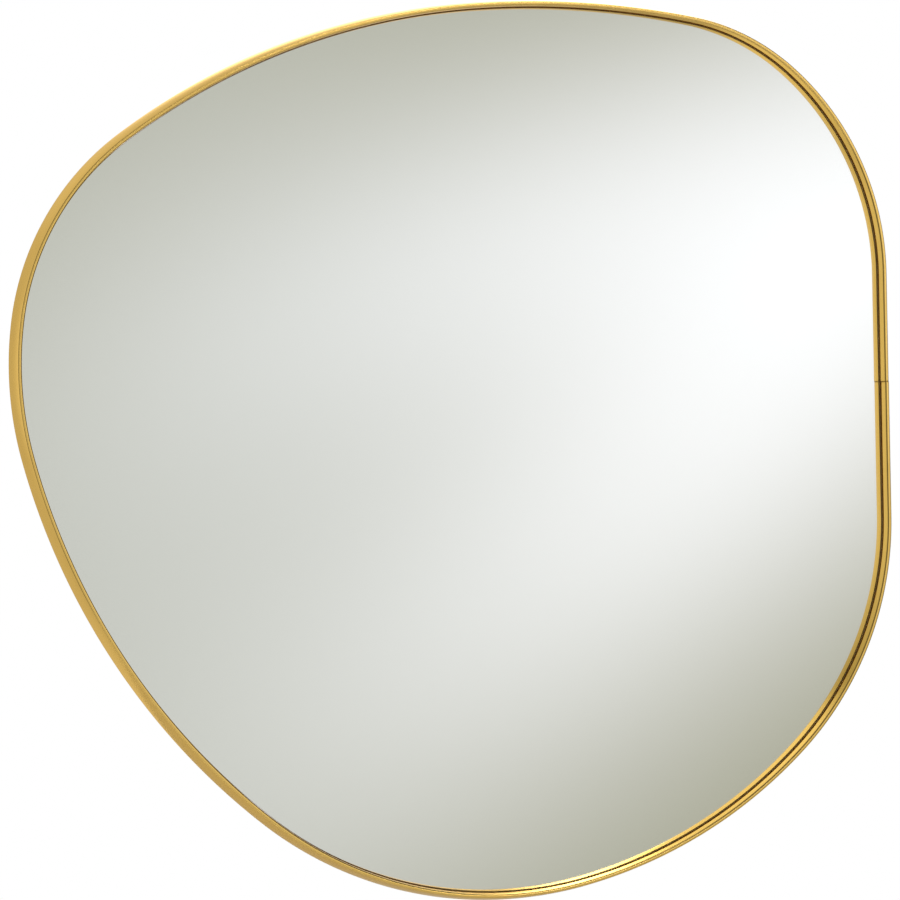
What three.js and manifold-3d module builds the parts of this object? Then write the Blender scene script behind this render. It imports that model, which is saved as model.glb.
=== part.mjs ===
// Irregular wall mirror: one brass-finished bar of wedge section bent into a pebble outline and butt
// welded on its straight side, a mirror glass set back inside it and taped to a board, welded tabs
// that hold the board from behind, and two strap hangers with hinged D-rings.
//
// Millimetres, +Z up. The mirror faces -Y and hangs on the wall plane y = 0.
// The origin lies on the wall plane, behind the middle of the frame's width and height.

import * as THREE from 'three';
import { mergeVertices } from 'three/addons/utils/BufferGeometryUtils.js';
import Module from 'manifold-3d';

const wasm = await Module();
wasm.setup();

// ---------------------------------------------------------------- driving dimensions

const MIRROR_HEIGHT = 800;

// The outline is the bar's outer edge at the wall, seen from the front and followed
// counter-clockwise from the foot of its straight right side. Every arc runs tangent into the next one, and two of them take
// the radius that closes the line. It is drawn at full size, then scaled to the mirror's height.
const STRAIGHT_LENGTH = 221;
const STRAIGHT_LEAN = 1.4; // degrees that the straight side leans to the left of upright
const UPPER_RIGHT_RADIUS = 249;
const TOP_RIGHT_RADIUS = 204;
const TOP_LEFT_RADIUS = 610;
const LEFT_SHOULDER_RADIUS = 240;
const LEFT_RADIUS = 310;
const BOTTOM_RADIUS = 341;
const LOWER_SLOPE_RADIUS = 429;
const LOWER_RIGHT_RADIUS = 295;
const CLOSING = 'closes the outline';
const REMAINDER = 'the rest of the full turn';
const ARCS = [
  { radius: UPPER_RIGHT_RADIUS, turn: 50.5 },
  { radius: TOP_RIGHT_RADIUS, turn: 29.5 },
  { radius: CLOSING, turn: 14.5 }, // the flat top
  { radius: TOP_LEFT_RADIUS, turn: 32 },
  { radius: LEFT_SHOULDER_RADIUS, turn: 45.5 },
  { radius: LEFT_RADIUS, turn: 22 },
  { radius: CLOSING, turn: 35.5 }, // the long lower left slope
  { radius: BOTTOM_RADIUS, turn: 52 },
  { radius: LOWER_SLOPE_RADIUS, turn: 32 },
  { radius: LOWER_RIGHT_RADIUS, turn: REMAINDER },
];
const CHORD_ERROR = 0.15; // how far a flat facet may stray from its arc

const BAR_FACE = 4; // the narrow gold face seen from the front
const BAR_FLARE = 6; // how far the sloping outer side spreads from the front to the wall
const BAR_DEPTH = 25; // how far the frame stands off the wall
const EDGE_RADIUS = 1.2; // rolled edges of the inner side and the rear
const EDGE_SEGMENTS = 2;
const EDGE_EASE = 0.6; // flat that eases the outer front edge
const SEAM_HEIGHT = 124; // from the foot of the straight side to the butt weld
const SEAM_WIDTH = 0.5;
const SEAM_DEPTH = 0.3; // what grinding left of the weld line

const GLASS_RECESS = 8.5; // from the bar's front edge back to the glass
const GLASS_THICKNESS = 4;
const GLASS_CLEARANCE = 0.8; // between the glass's edge and the bar
const GLASS_ARRIS = 0.5; // ground edge of the glass

const TAPE_THICKNESS = 1.5;
const TAPE_WIDTH = 25;
const TAPE_COUNT = 5;
const TAPE_SPACING = 140;
const TAPE_MARGIN = 45; // from a tape's ends to the glass's edge

const BOARD_THICKNESS = 5;
const BOARD_CLEARANCE = 1.5; // between the board's edge and the bar

const SEAT = 0.2; // what is left between faces that rest on each other
const WELD_GAP = 0.3; // between a welded tab and the bar

const TAB_COUNT = 8;
const TAB_SHEET = 1.5;
const TAB_WIDTH = 20;
const TAB_REACH = 18; // how far a tab reaches in behind the board
const TAB_CORNER = 4; // rounded free corners
const TAB_BEND = 0.8; // inner radius of the bend
const TAB_REAR = 1; // from the welded leg's edge to the wall
const TAB_HOLE_REACH = 7; // from the tab's welded leg to the screw

const SCREW_RADIUS = 1.75;
const SCREW_BITE = 4; // how deep a screw goes into the board
const SCREW_TIP = 1.6;
const SCREW_HEAD_RADIUS = 3.4;
const SCREW_HEAD_HEIGHT = 2;
const SCREW_RECESS_WIDTH = 0.9; // arms of the cross recess
const SCREW_RECESS_SPAN = 3.6;
const SCREW_RECESS_DEPTH = 1.1;
const SCREW_SIDES = 16;
const PILOT_CLEARANCE = 0.1;
const TAB_HOLE_CLEARANCE = 0.4;

const HANGER_SPACING = 400; // between the two straps
const HANGER_HEIGHT = 215; // of the ring's pivot above the origin
const STRAP_SHEET = 1;
const STRAP_WIDTH = 16;
const STRAP_HOLE_FIRST = 19.5; // from the pivot down to the first screw
const STRAP_HOLE_SPACING = 10;
const STRAP_END = 6; // from the last screw to the strap's round end
const STRAP_CORNER = 5;
const RING_WIRE_RADIUS = 1.25;
const RING_PIVOT_CLEARANCE = 0.15;
const RING_SIDE_CLEARANCE = 0.5;
const RING_LEG = 3.25; // straight part of each leg below the pivot
const RING_BEND = 1.65; // centre line of the bends beside the strap
const RING_SLIT = 0.3; // the wire's ends meet inside the strap
const RING_REST_GAP = 0.3; // between the hanging ring and the strap
const RING_SIDES = 12;
const RING_STEPS = 36;

// ---------------------------------------------------------------- materials

const brass = () => new THREE.MeshStandardMaterial({ color: 0xd2ab56, roughness: 0.25, metalness: 1 });
const mirrorGlass = () => new THREE.MeshStandardMaterial({ color: 0xd6d8d2, roughness: 0.02, metalness: 1 });
const fibreboard = () => new THREE.MeshStandardMaterial({ color: 0x9a7350, roughness: 0.9, metalness: 0 });
const foam = () => new THREE.MeshStandardMaterial({ color: 0xe6e6e2, roughness: 0.95, metalness: 0 });
const zincSteel = () => new THREE.MeshStandardMaterial({ color: 0xb4b6b8, roughness: 0.35, metalness: 1 });

// ---------------------------------------------------------------- outline

const radians = THREE.MathUtils.degToRad;
const FULL_TURN = 360;
const START_HEADING = 90 + STRAIGHT_LEAN;

// What a unit radius adds to the outline's run between two headings.
function arcRun(from, to) {
  return new THREE.Vector2(Math.sin(to) - Math.sin(from), Math.cos(from) - Math.cos(to));
}

// Gives each arc its headings, and solves the two open radii so that the line ends where it began.
function solveArcs() {
  const stated = ARCS.reduce((sum, { turn }) => sum + (turn === REMAINDER ? 0 : turn), 0);
  let heading = START_HEADING;
  const arcs = ARCS.map(({ radius, turn }) => {
    const from = radians(heading);
    heading += turn === REMAINDER ? FULL_TURN - stated : turn;
    return { from, to: radians(heading), radius };
  });
  const gap = new THREE.Vector2(Math.cos(arcs[0].from), Math.sin(arcs[0].from));
  gap.multiplyScalar(STRAIGHT_LENGTH);
  for (const arc of arcs.filter(({ radius }) => radius !== CLOSING)) {
    gap.addScaledVector(arcRun(arc.from, arc.to), arc.radius);
  }
  const [first, second] = arcs.filter(({ radius }) => radius === CLOSING);
  const firstRun = arcRun(first.from, first.to);
  const secondRun = arcRun(second.from, second.to);
  const determinant = firstRun.cross(secondRun);
  first.radius = -gap.cross(secondRun) / determinant;
  second.radius = -firstRun.cross(gap) / determinant;
  return arcs;
}

// Lays the arcs end to end, scales them to the mirror's height and centres them on the origin.
function layOutline() {
  const arcs = solveArcs();
  const pen = new THREE.Vector2(Math.cos(arcs[0].from), Math.sin(arcs[0].from));
  pen.multiplyScalar(STRAIGHT_LENGTH);
  const box = new THREE.Box2();
  for (const arc of arcs) {
    const { x, y } = pen;
    arc.centre = new THREE.Vector2(
      x - arc.radius * Math.sin(arc.from),
      y + arc.radius * Math.cos(arc.from),
    );
    arcHeadings(arc).forEach((heading) => box.expandByPoint(pointOnArc(arc, heading, 0)));
    pen.addScaledVector(arcRun(arc.from, arc.to), arc.radius);
  }
  const scale = MIRROR_HEIGHT / (box.max.y - box.min.y);
  const middle = box.getCenter(new THREE.Vector2());
  for (const arc of arcs) {
    arc.centre.sub(middle).multiplyScalar(scale);
    arc.radius *= scale;
  }
  return { arcs, straight: STRAIGHT_LENGTH * scale };
}

// Headings at which an arc is split, so that its facets keep to the chord error.
function arcHeadings({ radius, from, to }) {
  const facet = 2 * Math.acos(1 - CHORD_ERROR / radius);
  const steps = Math.ceil((to - from) / facet);
  return Array.from({ length: steps + 1 }, (_, i) => from + ((to - from) * i) / steps);
}

function pointOnArc({ centre, radius }, heading, inset) {
  const reach = radius - inset;
  return new THREE.Vector2(
    centre.x + reach * Math.sin(heading),
    centre.y - reach * Math.cos(heading),
  );
}

const outline = layOutline();

// Points of the outline drawn in by an inset. Arcs keep their centres, so insets stay parallel.
function outlineAt(inset) {
  return outline.arcs.flatMap((arc, i) => {
    const points = arcHeadings(arc).map((heading) => pointOnArc(arc, heading, inset));
    const last = i === outline.arcs.length - 1;
    return last ? points : points.slice(0, -1);
  });
}

// A place on the outline: how far along it, which way the bar runs there, and its bend radius.
function station(distance) {
  const [firstArc] = outline.arcs;
  if (distance < outline.straight) {
    const back = distance - outline.straight;
    const run = new THREE.Vector2(Math.cos(firstArc.from), Math.sin(firstArc.from));
    const point = pointOnArc(firstArc, firstArc.from, 0).addScaledVector(run, back);
    return { point, heading: firstArc.from, radius: Infinity };
  }
  let left = distance - outline.straight;
  for (const arc of outline.arcs) {
    const length = arc.radius * (arc.to - arc.from);
    if (left <= length) {
      const heading = arc.from + left / arc.radius;
      return { point: pointOnArc(arc, heading, 0), heading, radius: arc.radius };
    }
    left -= length;
  }
  throw new RangeError('station past the end of the outline');
}

function outlineLength() {
  return outline.arcs.reduce((sum, arc) => sum + arc.radius * (arc.to - arc.from), outline.straight);
}

// Local frame of a station: x along the bar, y from front to wall, z inwards from the outer face.
function stationMatrix({ point, heading }, inset) {
  const inwards = new THREE.Vector2(-Math.sin(heading), Math.cos(heading)).multiplyScalar(inset);
  const matrix = new THREE.Matrix4().makeRotationY(-heading);
  return matrix.setPosition(point.x + inwards.x, 0, point.y + inwards.y);
}

// ---------------------------------------------------------------- depths, from the wall forwards

const innerInset = BAR_FLARE + BAR_FACE; // from the outline in to the bar's upright inner side
const glassFront = GLASS_RECESS - BAR_DEPTH;
const glassBack = glassFront + GLASS_THICKNESS;
const boardFront = glassBack + TAPE_THICKNESS;
const boardBack = boardFront + BOARD_THICKNESS;

// ---------------------------------------------------------------- shared operations

// Extrudes a front-view shape (x across, y up) from a front depth back to a rear depth.
function extrudeFrontShape(shape, front, rear, edge = 0, edgeSegments = 1) {
  const geometry = new THREE.ExtrudeGeometry(shape, {
    depth: rear - front - 2 * edge,
    bevelEnabled: edge > 0,
    bevelThickness: edge,
    bevelSize: edge,
    bevelSegments: edgeSegments,
  });
  geometry.rotateX(Math.PI / 2);
  return geometry.translate(0, rear - edge, 0);
}

// Extrudes a side-view shape (x inwards or up, y from front to wall) along the bar, centred.
function extrudeSideShape(shape, width, curveSegments = 6) {
  const geometry = new THREE.ExtrudeGeometry(shape, { depth: width, bevelEnabled: false, curveSegments });
  geometry.translate(0, 0, -width / 2);
  return geometry.rotateY(-Math.PI / 2);
}

// A rectangle with rounded corners, from its low corner.
function roundedRectangle(x, y, width, height, radius) {
  const shape = new THREE.Shape();
  shape.moveTo(x + radius, y);
  shape.lineTo(x + width - radius, y);
  shape.absarc(x + width - radius, y + radius, radius, -Math.PI / 2, 0);
  shape.lineTo(x + width, y + height - radius);
  shape.absarc(x + width - radius, y + height - radius, radius, 0, Math.PI / 2);
  shape.lineTo(x + radius, y + height);
  shape.absarc(x + radius, y + height - radius, radius, Math.PI / 2, Math.PI);
  shape.lineTo(x, y + radius);
  shape.absarc(x + radius, y + radius, radius, Math.PI, 1.5 * Math.PI);
  return shape;
}

// A round drill or core along the depth axis, centred on its own middle.
function drill(radius, length) {
  return new THREE.CylinderGeometry(radius, radius, length, SCREW_SIDES);
}

function toSolid(geometry) {
  const bare = geometry.index ? geometry.toNonIndexed() : geometry.clone();
  bare.deleteAttribute('normal');
  bare.deleteAttribute('uv');
  const merged = mergeVertices(bare);
  const vertProperties = Float32Array.from(merged.attributes.position.array);
  const triVerts = Uint32Array.from(merged.index.array);
  return new wasm.Manifold(new wasm.Mesh({ numProp: 3, vertProperties, triVerts }));
}

function toGeometry(solid) {
  const mesh = solid.getMesh();
  const geometry = new THREE.BufferGeometry();
  geometry.setAttribute('position', new THREE.BufferAttribute(mesh.vertProperties, 3));
  geometry.setIndex(new THREE.BufferAttribute(mesh.triVerts, 1));
  geometry.computeVertexNormals();
  return geometry;
}

function cut(body, tools) {
  return toGeometry(tools.reduce((solid, tool) => solid.subtract(toSolid(tool)), toSolid(body)));
}

function keep(body, within) {
  return toGeometry(toSolid(body).intersect(toSolid(within)));
}

function named(name, geometry, material) {
  const mesh = new THREE.Mesh(geometry, material);
  mesh.name = name;
  return mesh;
}

// ---------------------------------------------------------------- frame bar

// A solid that fills the outline at the wall, drawn in by a depth, and tapers to the bar's front:
// its side comes in by a rise over the frontmost length.
function taperedForm(depth, rise, length) {
  const form = new THREE.ExtrudeGeometry(new THREE.Shape(outlineAt(depth + rise)), {
    depth: BAR_DEPTH,
    bevelThickness: length,
    bevelSize: rise,
    bevelSegments: 1,
  });
  form.rotateX(Math.PI / 2);
  return form.translate(0, length, 0);
}

// The bar with every face drawn in by a depth: a ring with rolled edges, tapered on its outer side.
function barForm(depth) {
  const ring = new THREE.Shape(outlineAt(EDGE_RADIUS));
  ring.holes.push(new THREE.Path(outlineAt(innerInset - EDGE_RADIUS).reverse()));
  const blank = extrudeFrontShape(ring, depth - BAR_DEPTH, -depth, EDGE_RADIUS - depth, EDGE_SEGMENTS);
  const wedge = keep(blank, taperedForm(depth, BAR_FLARE, BAR_DEPTH));
  const easedRise = BAR_FLARE + EDGE_EASE;
  return keep(wedge, taperedForm(depth, easedRise, easedRise));
}

// The weld line: a shallow groove all round the bar's section, where its two ends meet.
function seamGroove() {
  const slab = new THREE.BoxGeometry(SEAM_WIDTH, 2 * BAR_DEPTH, 2 * innerInset);
  slab.translate(0, -BAR_DEPTH / 2, innerInset / 2);
  slab.applyMatrix4(stationMatrix(station(SEAM_HEIGHT), 0));
  return cut(slab, [barForm(SEAM_DEPTH)]);
}

function frameBar() {
  return named('frame_bar', cut(barForm(0), [seamGroove()]), brass());
}

// ---------------------------------------------------------------- glass, tapes and board

function mirror() {
  const edge = innerInset + GLASS_CLEARANCE + GLASS_ARRIS;
  const shape = new THREE.Shape(outlineAt(edge));
  const glass = extrudeFrontShape(shape, glassFront, glassBack, GLASS_ARRIS);
  return named('mirror_glass', glass, mirrorGlass());
}

// The lowest and highest point of an inset outline on one upright line.
function uprightSpan(x, inset) {
  const points = outlineAt(inset);
  const heights = [];
  points.forEach((point, i) => {
    const next = points[(i + 1) % points.length];
    if ((point.x - x) * (next.x - x) < 0) {
      const share = (x - point.x) / (next.x - point.x);
      heights.push(point.y + share * (next.y - point.y));
    }
  });
  return [Math.min(...heights), Math.max(...heights)];
}

function tape(index) {
  const x = (index - (TAPE_COUNT - 1) / 2) * TAPE_SPACING;
  const inset = innerInset + GLASS_CLEARANCE + TAPE_MARGIN;
  const [low, high] = uprightSpan(x, inset);
  const strip = new THREE.BoxGeometry(TAPE_WIDTH, TAPE_THICKNESS - 2 * SEAT, high - low);
  const mesh = named(`foam_tape_${index + 1}`, strip, foam());
  mesh.position.set(x, (glassBack + boardFront) / 2, (low + high) / 2);
  return mesh;
}

// Pilot holes are drilled from the board's back, as deep as the screws bite.
function pilotHole({ x, z }) {
  const depth = SCREW_BITE + PILOT_CLEARANCE;
  const hole = drill(SCREW_RADIUS + PILOT_CLEARANCE, 2 * depth);
  return hole.translate(x, boardBack, z);
}

function board() {
  const shape = new THREE.Shape(outlineAt(innerInset + BOARD_CLEARANCE));
  const panel = extrudeFrontShape(shape, boardFront, boardBack);
  const places = [...tabStations.map(tabScrewPlace), ...hangerSides.flatMap(strapScrewPlaces)];
  return named('backing_board', cut(panel, places.map(pilotHole)), fibreboard());
}

// ---------------------------------------------------------------- screws

// Pan-head wood screw: origin under its head, shank towards the front, head towards the wall.
function screwGeometry(grip) {
  const reach = grip + SCREW_BITE;
  const rim = SCREW_HEAD_HEIGHT / 3;
  const profile = [
    new THREE.Vector2(0, -reach),
    new THREE.Vector2(SCREW_RADIUS, SCREW_TIP - reach),
    new THREE.Vector2(SCREW_RADIUS, 0),
    new THREE.Vector2(SCREW_HEAD_RADIUS, 0),
    new THREE.Vector2(SCREW_HEAD_RADIUS, rim),
    new THREE.Vector2(SCREW_HEAD_RADIUS * 0.75, SCREW_HEAD_HEIGHT * 0.85),
    new THREE.Vector2(0, SCREW_HEAD_HEIGHT),
  ];
  const body = new THREE.LatheGeometry(profile, SCREW_SIDES);
  const arms = [0, Math.PI / 2].map((turn) => {
    const arm = new THREE.BoxGeometry(SCREW_RECESS_SPAN, 2 * SCREW_RECESS_DEPTH, SCREW_RECESS_WIDTH);
    return arm.rotateY(turn).translate(0, SCREW_HEAD_HEIGHT, 0);
  });
  return cut(body, arms);
}

function screw(name, place, seat, grip) {
  const mesh = named(name, screwGeometry(grip), zincSteel());
  mesh.position.set(place.x, seat, place.z);
  return mesh;
}

// ---------------------------------------------------------------- tabs

const tabStations = Array.from({ length: TAB_COUNT }, (_, i) => {
  return station(((i + 0.5) / TAB_COUNT) * outlineLength());
});

// A straight tab touches the bent bar with its ends, so it stands in by the bar's rise over its width.
function tabInset({ radius }) {
  return innerInset + WELD_GAP + TAB_WIDTH ** 2 / (8 * radius);
}

function tabScrewPlace(place) {
  const origin = new THREE.Vector3(0, 0, TAB_HOLE_REACH);
  return origin.applyMatrix4(stationMatrix(place, tabInset(place)));
}

const tabFront = boardBack + SEAT;
const tabSeat = tabFront + TAB_SHEET + SEAT;

// An angle of sheet: one leg lies along the bar and is welded to it, the other backs the board.
function tabGeometry() {
  const outerBend = TAB_BEND + TAB_SHEET;
  const angle = new THREE.Shape();
  angle.moveTo(outerBend, tabFront);
  angle.lineTo(TAB_REACH, tabFront);
  angle.lineTo(TAB_REACH, tabFront + TAB_SHEET);
  angle.lineTo(outerBend, tabFront + TAB_SHEET);
  angle.absarc(outerBend, tabFront + outerBend, TAB_BEND, 1.5 * Math.PI, Math.PI, true);
  angle.lineTo(TAB_SHEET, -TAB_REAR);
  angle.lineTo(0, -TAB_REAR);
  angle.lineTo(0, tabFront + outerBend);
  angle.absarc(outerBend, tabFront + outerBend, outerBend, Math.PI, 1.5 * Math.PI);
  const body = extrudeSideShape(angle, TAB_WIDTH);

  const plan = roundedRectangle(-TAB_WIDTH / 2, -TAB_REACH, TAB_WIDTH, 2 * TAB_REACH, TAB_CORNER);
  const blank = extrudeFrontShape(plan, tabFront - 1, 1);
  const hole = drill(SCREW_RADIUS + TAB_HOLE_CLEARANCE, 4 * TAB_SHEET);
  hole.translate(0, tabFront, TAB_HOLE_REACH);
  return cut(keep(body, blank), [hole]);
}

function tab(place, index) {
  const pair = new THREE.Group();
  const mesh = named(`frame_tab_${index + 1}`, tabGeometry(), brass());
  mesh.applyMatrix4(stationMatrix(place, tabInset(place)));
  pair.add(mesh);
  pair.add(screw(`tab_screw_${index + 1}`, tabScrewPlace(place), tabSeat, tabSeat - boardBack));
  return pair;
}

// ---------------------------------------------------------------- strap hangers with D-rings

const hangerSides = [
  { side: 'left', x: -HANGER_SPACING / 2 },
  { side: 'right', x: HANGER_SPACING / 2 },
];
const boreRadius = RING_WIRE_RADIUS + RING_PIVOT_CLEARANCE;
const barrelRadius = boreRadius + STRAP_SHEET;
const strapFront = boardBack + SEAT;
const pivotDepth = strapFront + barrelRadius;
const strapSeat = strapFront + 2 * STRAP_SHEET + SEAT;

function strapScrewPlaces({ x }) {
  return [0, 1].map((i) => {
    const down = STRAP_HOLE_FIRST + i * STRAP_HOLE_SPACING;
    return new THREE.Vector3(x, 0, HANGER_HEIGHT - down);
  });
}

// Sheet folded round the ring's wire and back on itself: origin on the pivot, tail hanging down.
function strapGeometry() {
  const tail = STRAP_HOLE_FIRST + STRAP_HOLE_SPACING + STRAP_END;
  const front = -barrelRadius;
  const back = front + 2 * STRAP_SHEET;
  const leave = 0.75 * Math.PI; // where the outer sheet leaves the wire, at 45 degrees
  const leaveX = barrelRadius * Math.cos(leave);
  const leaveY = barrelRadius * Math.sin(leave);
  const side = new THREE.Shape();
  side.moveTo(-tail, front);
  side.lineTo(0, front);
  side.absarc(0, 0, barrelRadius, -Math.PI / 2, leave);
  side.lineTo(leaveX - (leaveY - back), back);
  side.lineTo(-tail, back);
  side.holes.push(new THREE.Path().absarc(0, 0, boreRadius, 0, 2 * Math.PI, true));
  const folded = extrudeSideShape(side, STRAP_WIDTH, 10);

  const plan = roundedRectangle(-STRAP_WIDTH / 2, -tail, STRAP_WIDTH, 2 * tail, STRAP_CORNER);
  const blank = extrudeFrontShape(plan, -2 * barrelRadius, 2 * barrelRadius);
  const holes = [0, 1].map((i) => {
    const hole = drill(SCREW_RADIUS + TAB_HOLE_CLEARANCE, 6 * STRAP_SHEET);
    return hole.translate(0, front, -STRAP_HOLE_FIRST - i * STRAP_HOLE_SPACING);
  });
  return cut(keep(folded, blank), holes);
}

const ringHalfWidth = STRAP_WIDTH / 2 + RING_SIDE_CLEARANCE + RING_WIRE_RADIUS;

// Centre line of the D: along the pivot, round the bends, down the legs and round the bow.
class RingLine extends THREE.Curve {
  constructor() {
    super();
    const bar = ringHalfWidth - RING_BEND;
    const line = new THREE.Path();
    line.moveTo(RING_SLIT / 2, 0);
    line.lineTo(bar, 0);
    line.absarc(bar, -RING_BEND, RING_BEND, Math.PI / 2, 0, true);
    line.lineTo(ringHalfWidth, -RING_LEG);
    line.absarc(0, -RING_LEG, ringHalfWidth, 0, -Math.PI, true);
    line.lineTo(-ringHalfWidth, -RING_BEND);
    line.absarc(-bar, -RING_BEND, RING_BEND, Math.PI, Math.PI / 2, true);
    line.lineTo(-RING_SLIT / 2, 0);
    this.line = line;
  }

  getPoint(share, target = new THREE.Vector3()) {
    const point = this.line.getPoint(share);
    return target.set(point.x, 0, point.y);
  }
}

function ringGeometry() {
  const wire = new THREE.Shape().absarc(0, 0, RING_WIRE_RADIUS, 0, 2 * Math.PI);
  return new THREE.ExtrudeGeometry(wire, {
    steps: RING_STEPS,
    curveSegments: RING_SIDES / 2, // a curve is split twice as finely as this
    extrudePath: new RingLine(),
  });
}

// Hanging down, the bow lies on the strap's edges: how far it is tilted off the upright.
function ringRestTilt() {
  const overEdge = RING_LEG + Math.sqrt(ringHalfWidth ** 2 - (STRAP_WIDTH / 2) ** 2);
  const lift = 2 * STRAP_SHEET + RING_WIRE_RADIUS + RING_REST_GAP - barrelRadius;
  return Math.asin(lift / overEdge);
}

function hanger(place) {
  const { side, x } = place;
  const pieces = new THREE.Group();
  const pivot = new THREE.Group();
  pivot.position.set(x, pivotDepth, HANGER_HEIGHT);
  pivot.add(named(`hanger_strap_${side}`, strapGeometry(), zincSteel()));
  const ring = named(`hanger_ring_${side}`, ringGeometry(), zincSteel());
  ring.rotation.x = ringRestTilt();
  pivot.add(ring);
  pieces.add(pivot);
  strapScrewPlaces(place).forEach((spot, i) => {
    const name = `hanger_screw_${side}_${i + 1}`;
    pieces.add(screw(name, spot, strapSeat, strapSeat - boardBack));
  });
  return pieces;
}

// ---------------------------------------------------------------- the whole mirror

const group = new THREE.Group();
group.add(frameBar(), mirror(), board());
for (let i = 0; i < TAPE_COUNT; i += 1) group.add(tape(i));
tabStations.forEach((place, i) => group.add(tab(place, i)));
hangerSides.forEach((place) => group.add(hanger(place)));

export default group;
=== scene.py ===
"""Visual model of the irregular wall mirror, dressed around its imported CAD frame.

The mirror faces -Y, +X is to the viewer's right and +Z is up. The wall plane is y = 0. Sizes are in
metres, and each sub-assembly is a class that holds its sizes, builds its meshes and dresses them.
"""

from __future__ import annotations

import logging
import math
from dataclasses import dataclass, field
from enum import Enum
from typing import Callable, Iterable, Sequence

import bmesh
import bpy
import numpy as np
from mathutils import Matrix, Vector

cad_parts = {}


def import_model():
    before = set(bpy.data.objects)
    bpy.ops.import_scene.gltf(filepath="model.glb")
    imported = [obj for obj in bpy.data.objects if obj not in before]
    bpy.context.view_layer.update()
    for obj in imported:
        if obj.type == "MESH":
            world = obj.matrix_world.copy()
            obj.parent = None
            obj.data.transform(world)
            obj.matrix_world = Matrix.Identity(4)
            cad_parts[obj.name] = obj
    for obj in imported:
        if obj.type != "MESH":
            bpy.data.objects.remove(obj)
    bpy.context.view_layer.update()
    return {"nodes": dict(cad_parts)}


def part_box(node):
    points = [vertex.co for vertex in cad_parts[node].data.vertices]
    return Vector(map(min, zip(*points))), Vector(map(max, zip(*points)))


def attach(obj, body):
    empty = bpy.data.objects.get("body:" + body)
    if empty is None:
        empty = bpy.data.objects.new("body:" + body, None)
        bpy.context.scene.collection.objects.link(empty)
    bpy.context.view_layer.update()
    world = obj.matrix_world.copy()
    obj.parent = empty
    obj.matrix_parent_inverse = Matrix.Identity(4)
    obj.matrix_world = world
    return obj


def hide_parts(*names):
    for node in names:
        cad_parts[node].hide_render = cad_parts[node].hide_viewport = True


LOG = logging.getLogger("mirror")
MM = 0.001
FIXED_BODY = "mirror"

Colour = tuple[float, float, float]
Point2 = tuple[float, float]


class Slot(Enum):
    """The record's material slots."""

    FRAME = "frame"
    MIRROR = "mirror"
    BOARD = "board"
    TAPE = "tape"
    HARDWARE = "hardware"


class Side(Enum):
    """The two hangers, with the sign of their place along X."""

    LEFT = -1
    RIGHT = 1

    @property
    def word(self) -> str:
        """The side's name as the CAD nodes spell it."""
        return self.name.lower()


# ---------------------------------------------------------------------------- node trees


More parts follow.
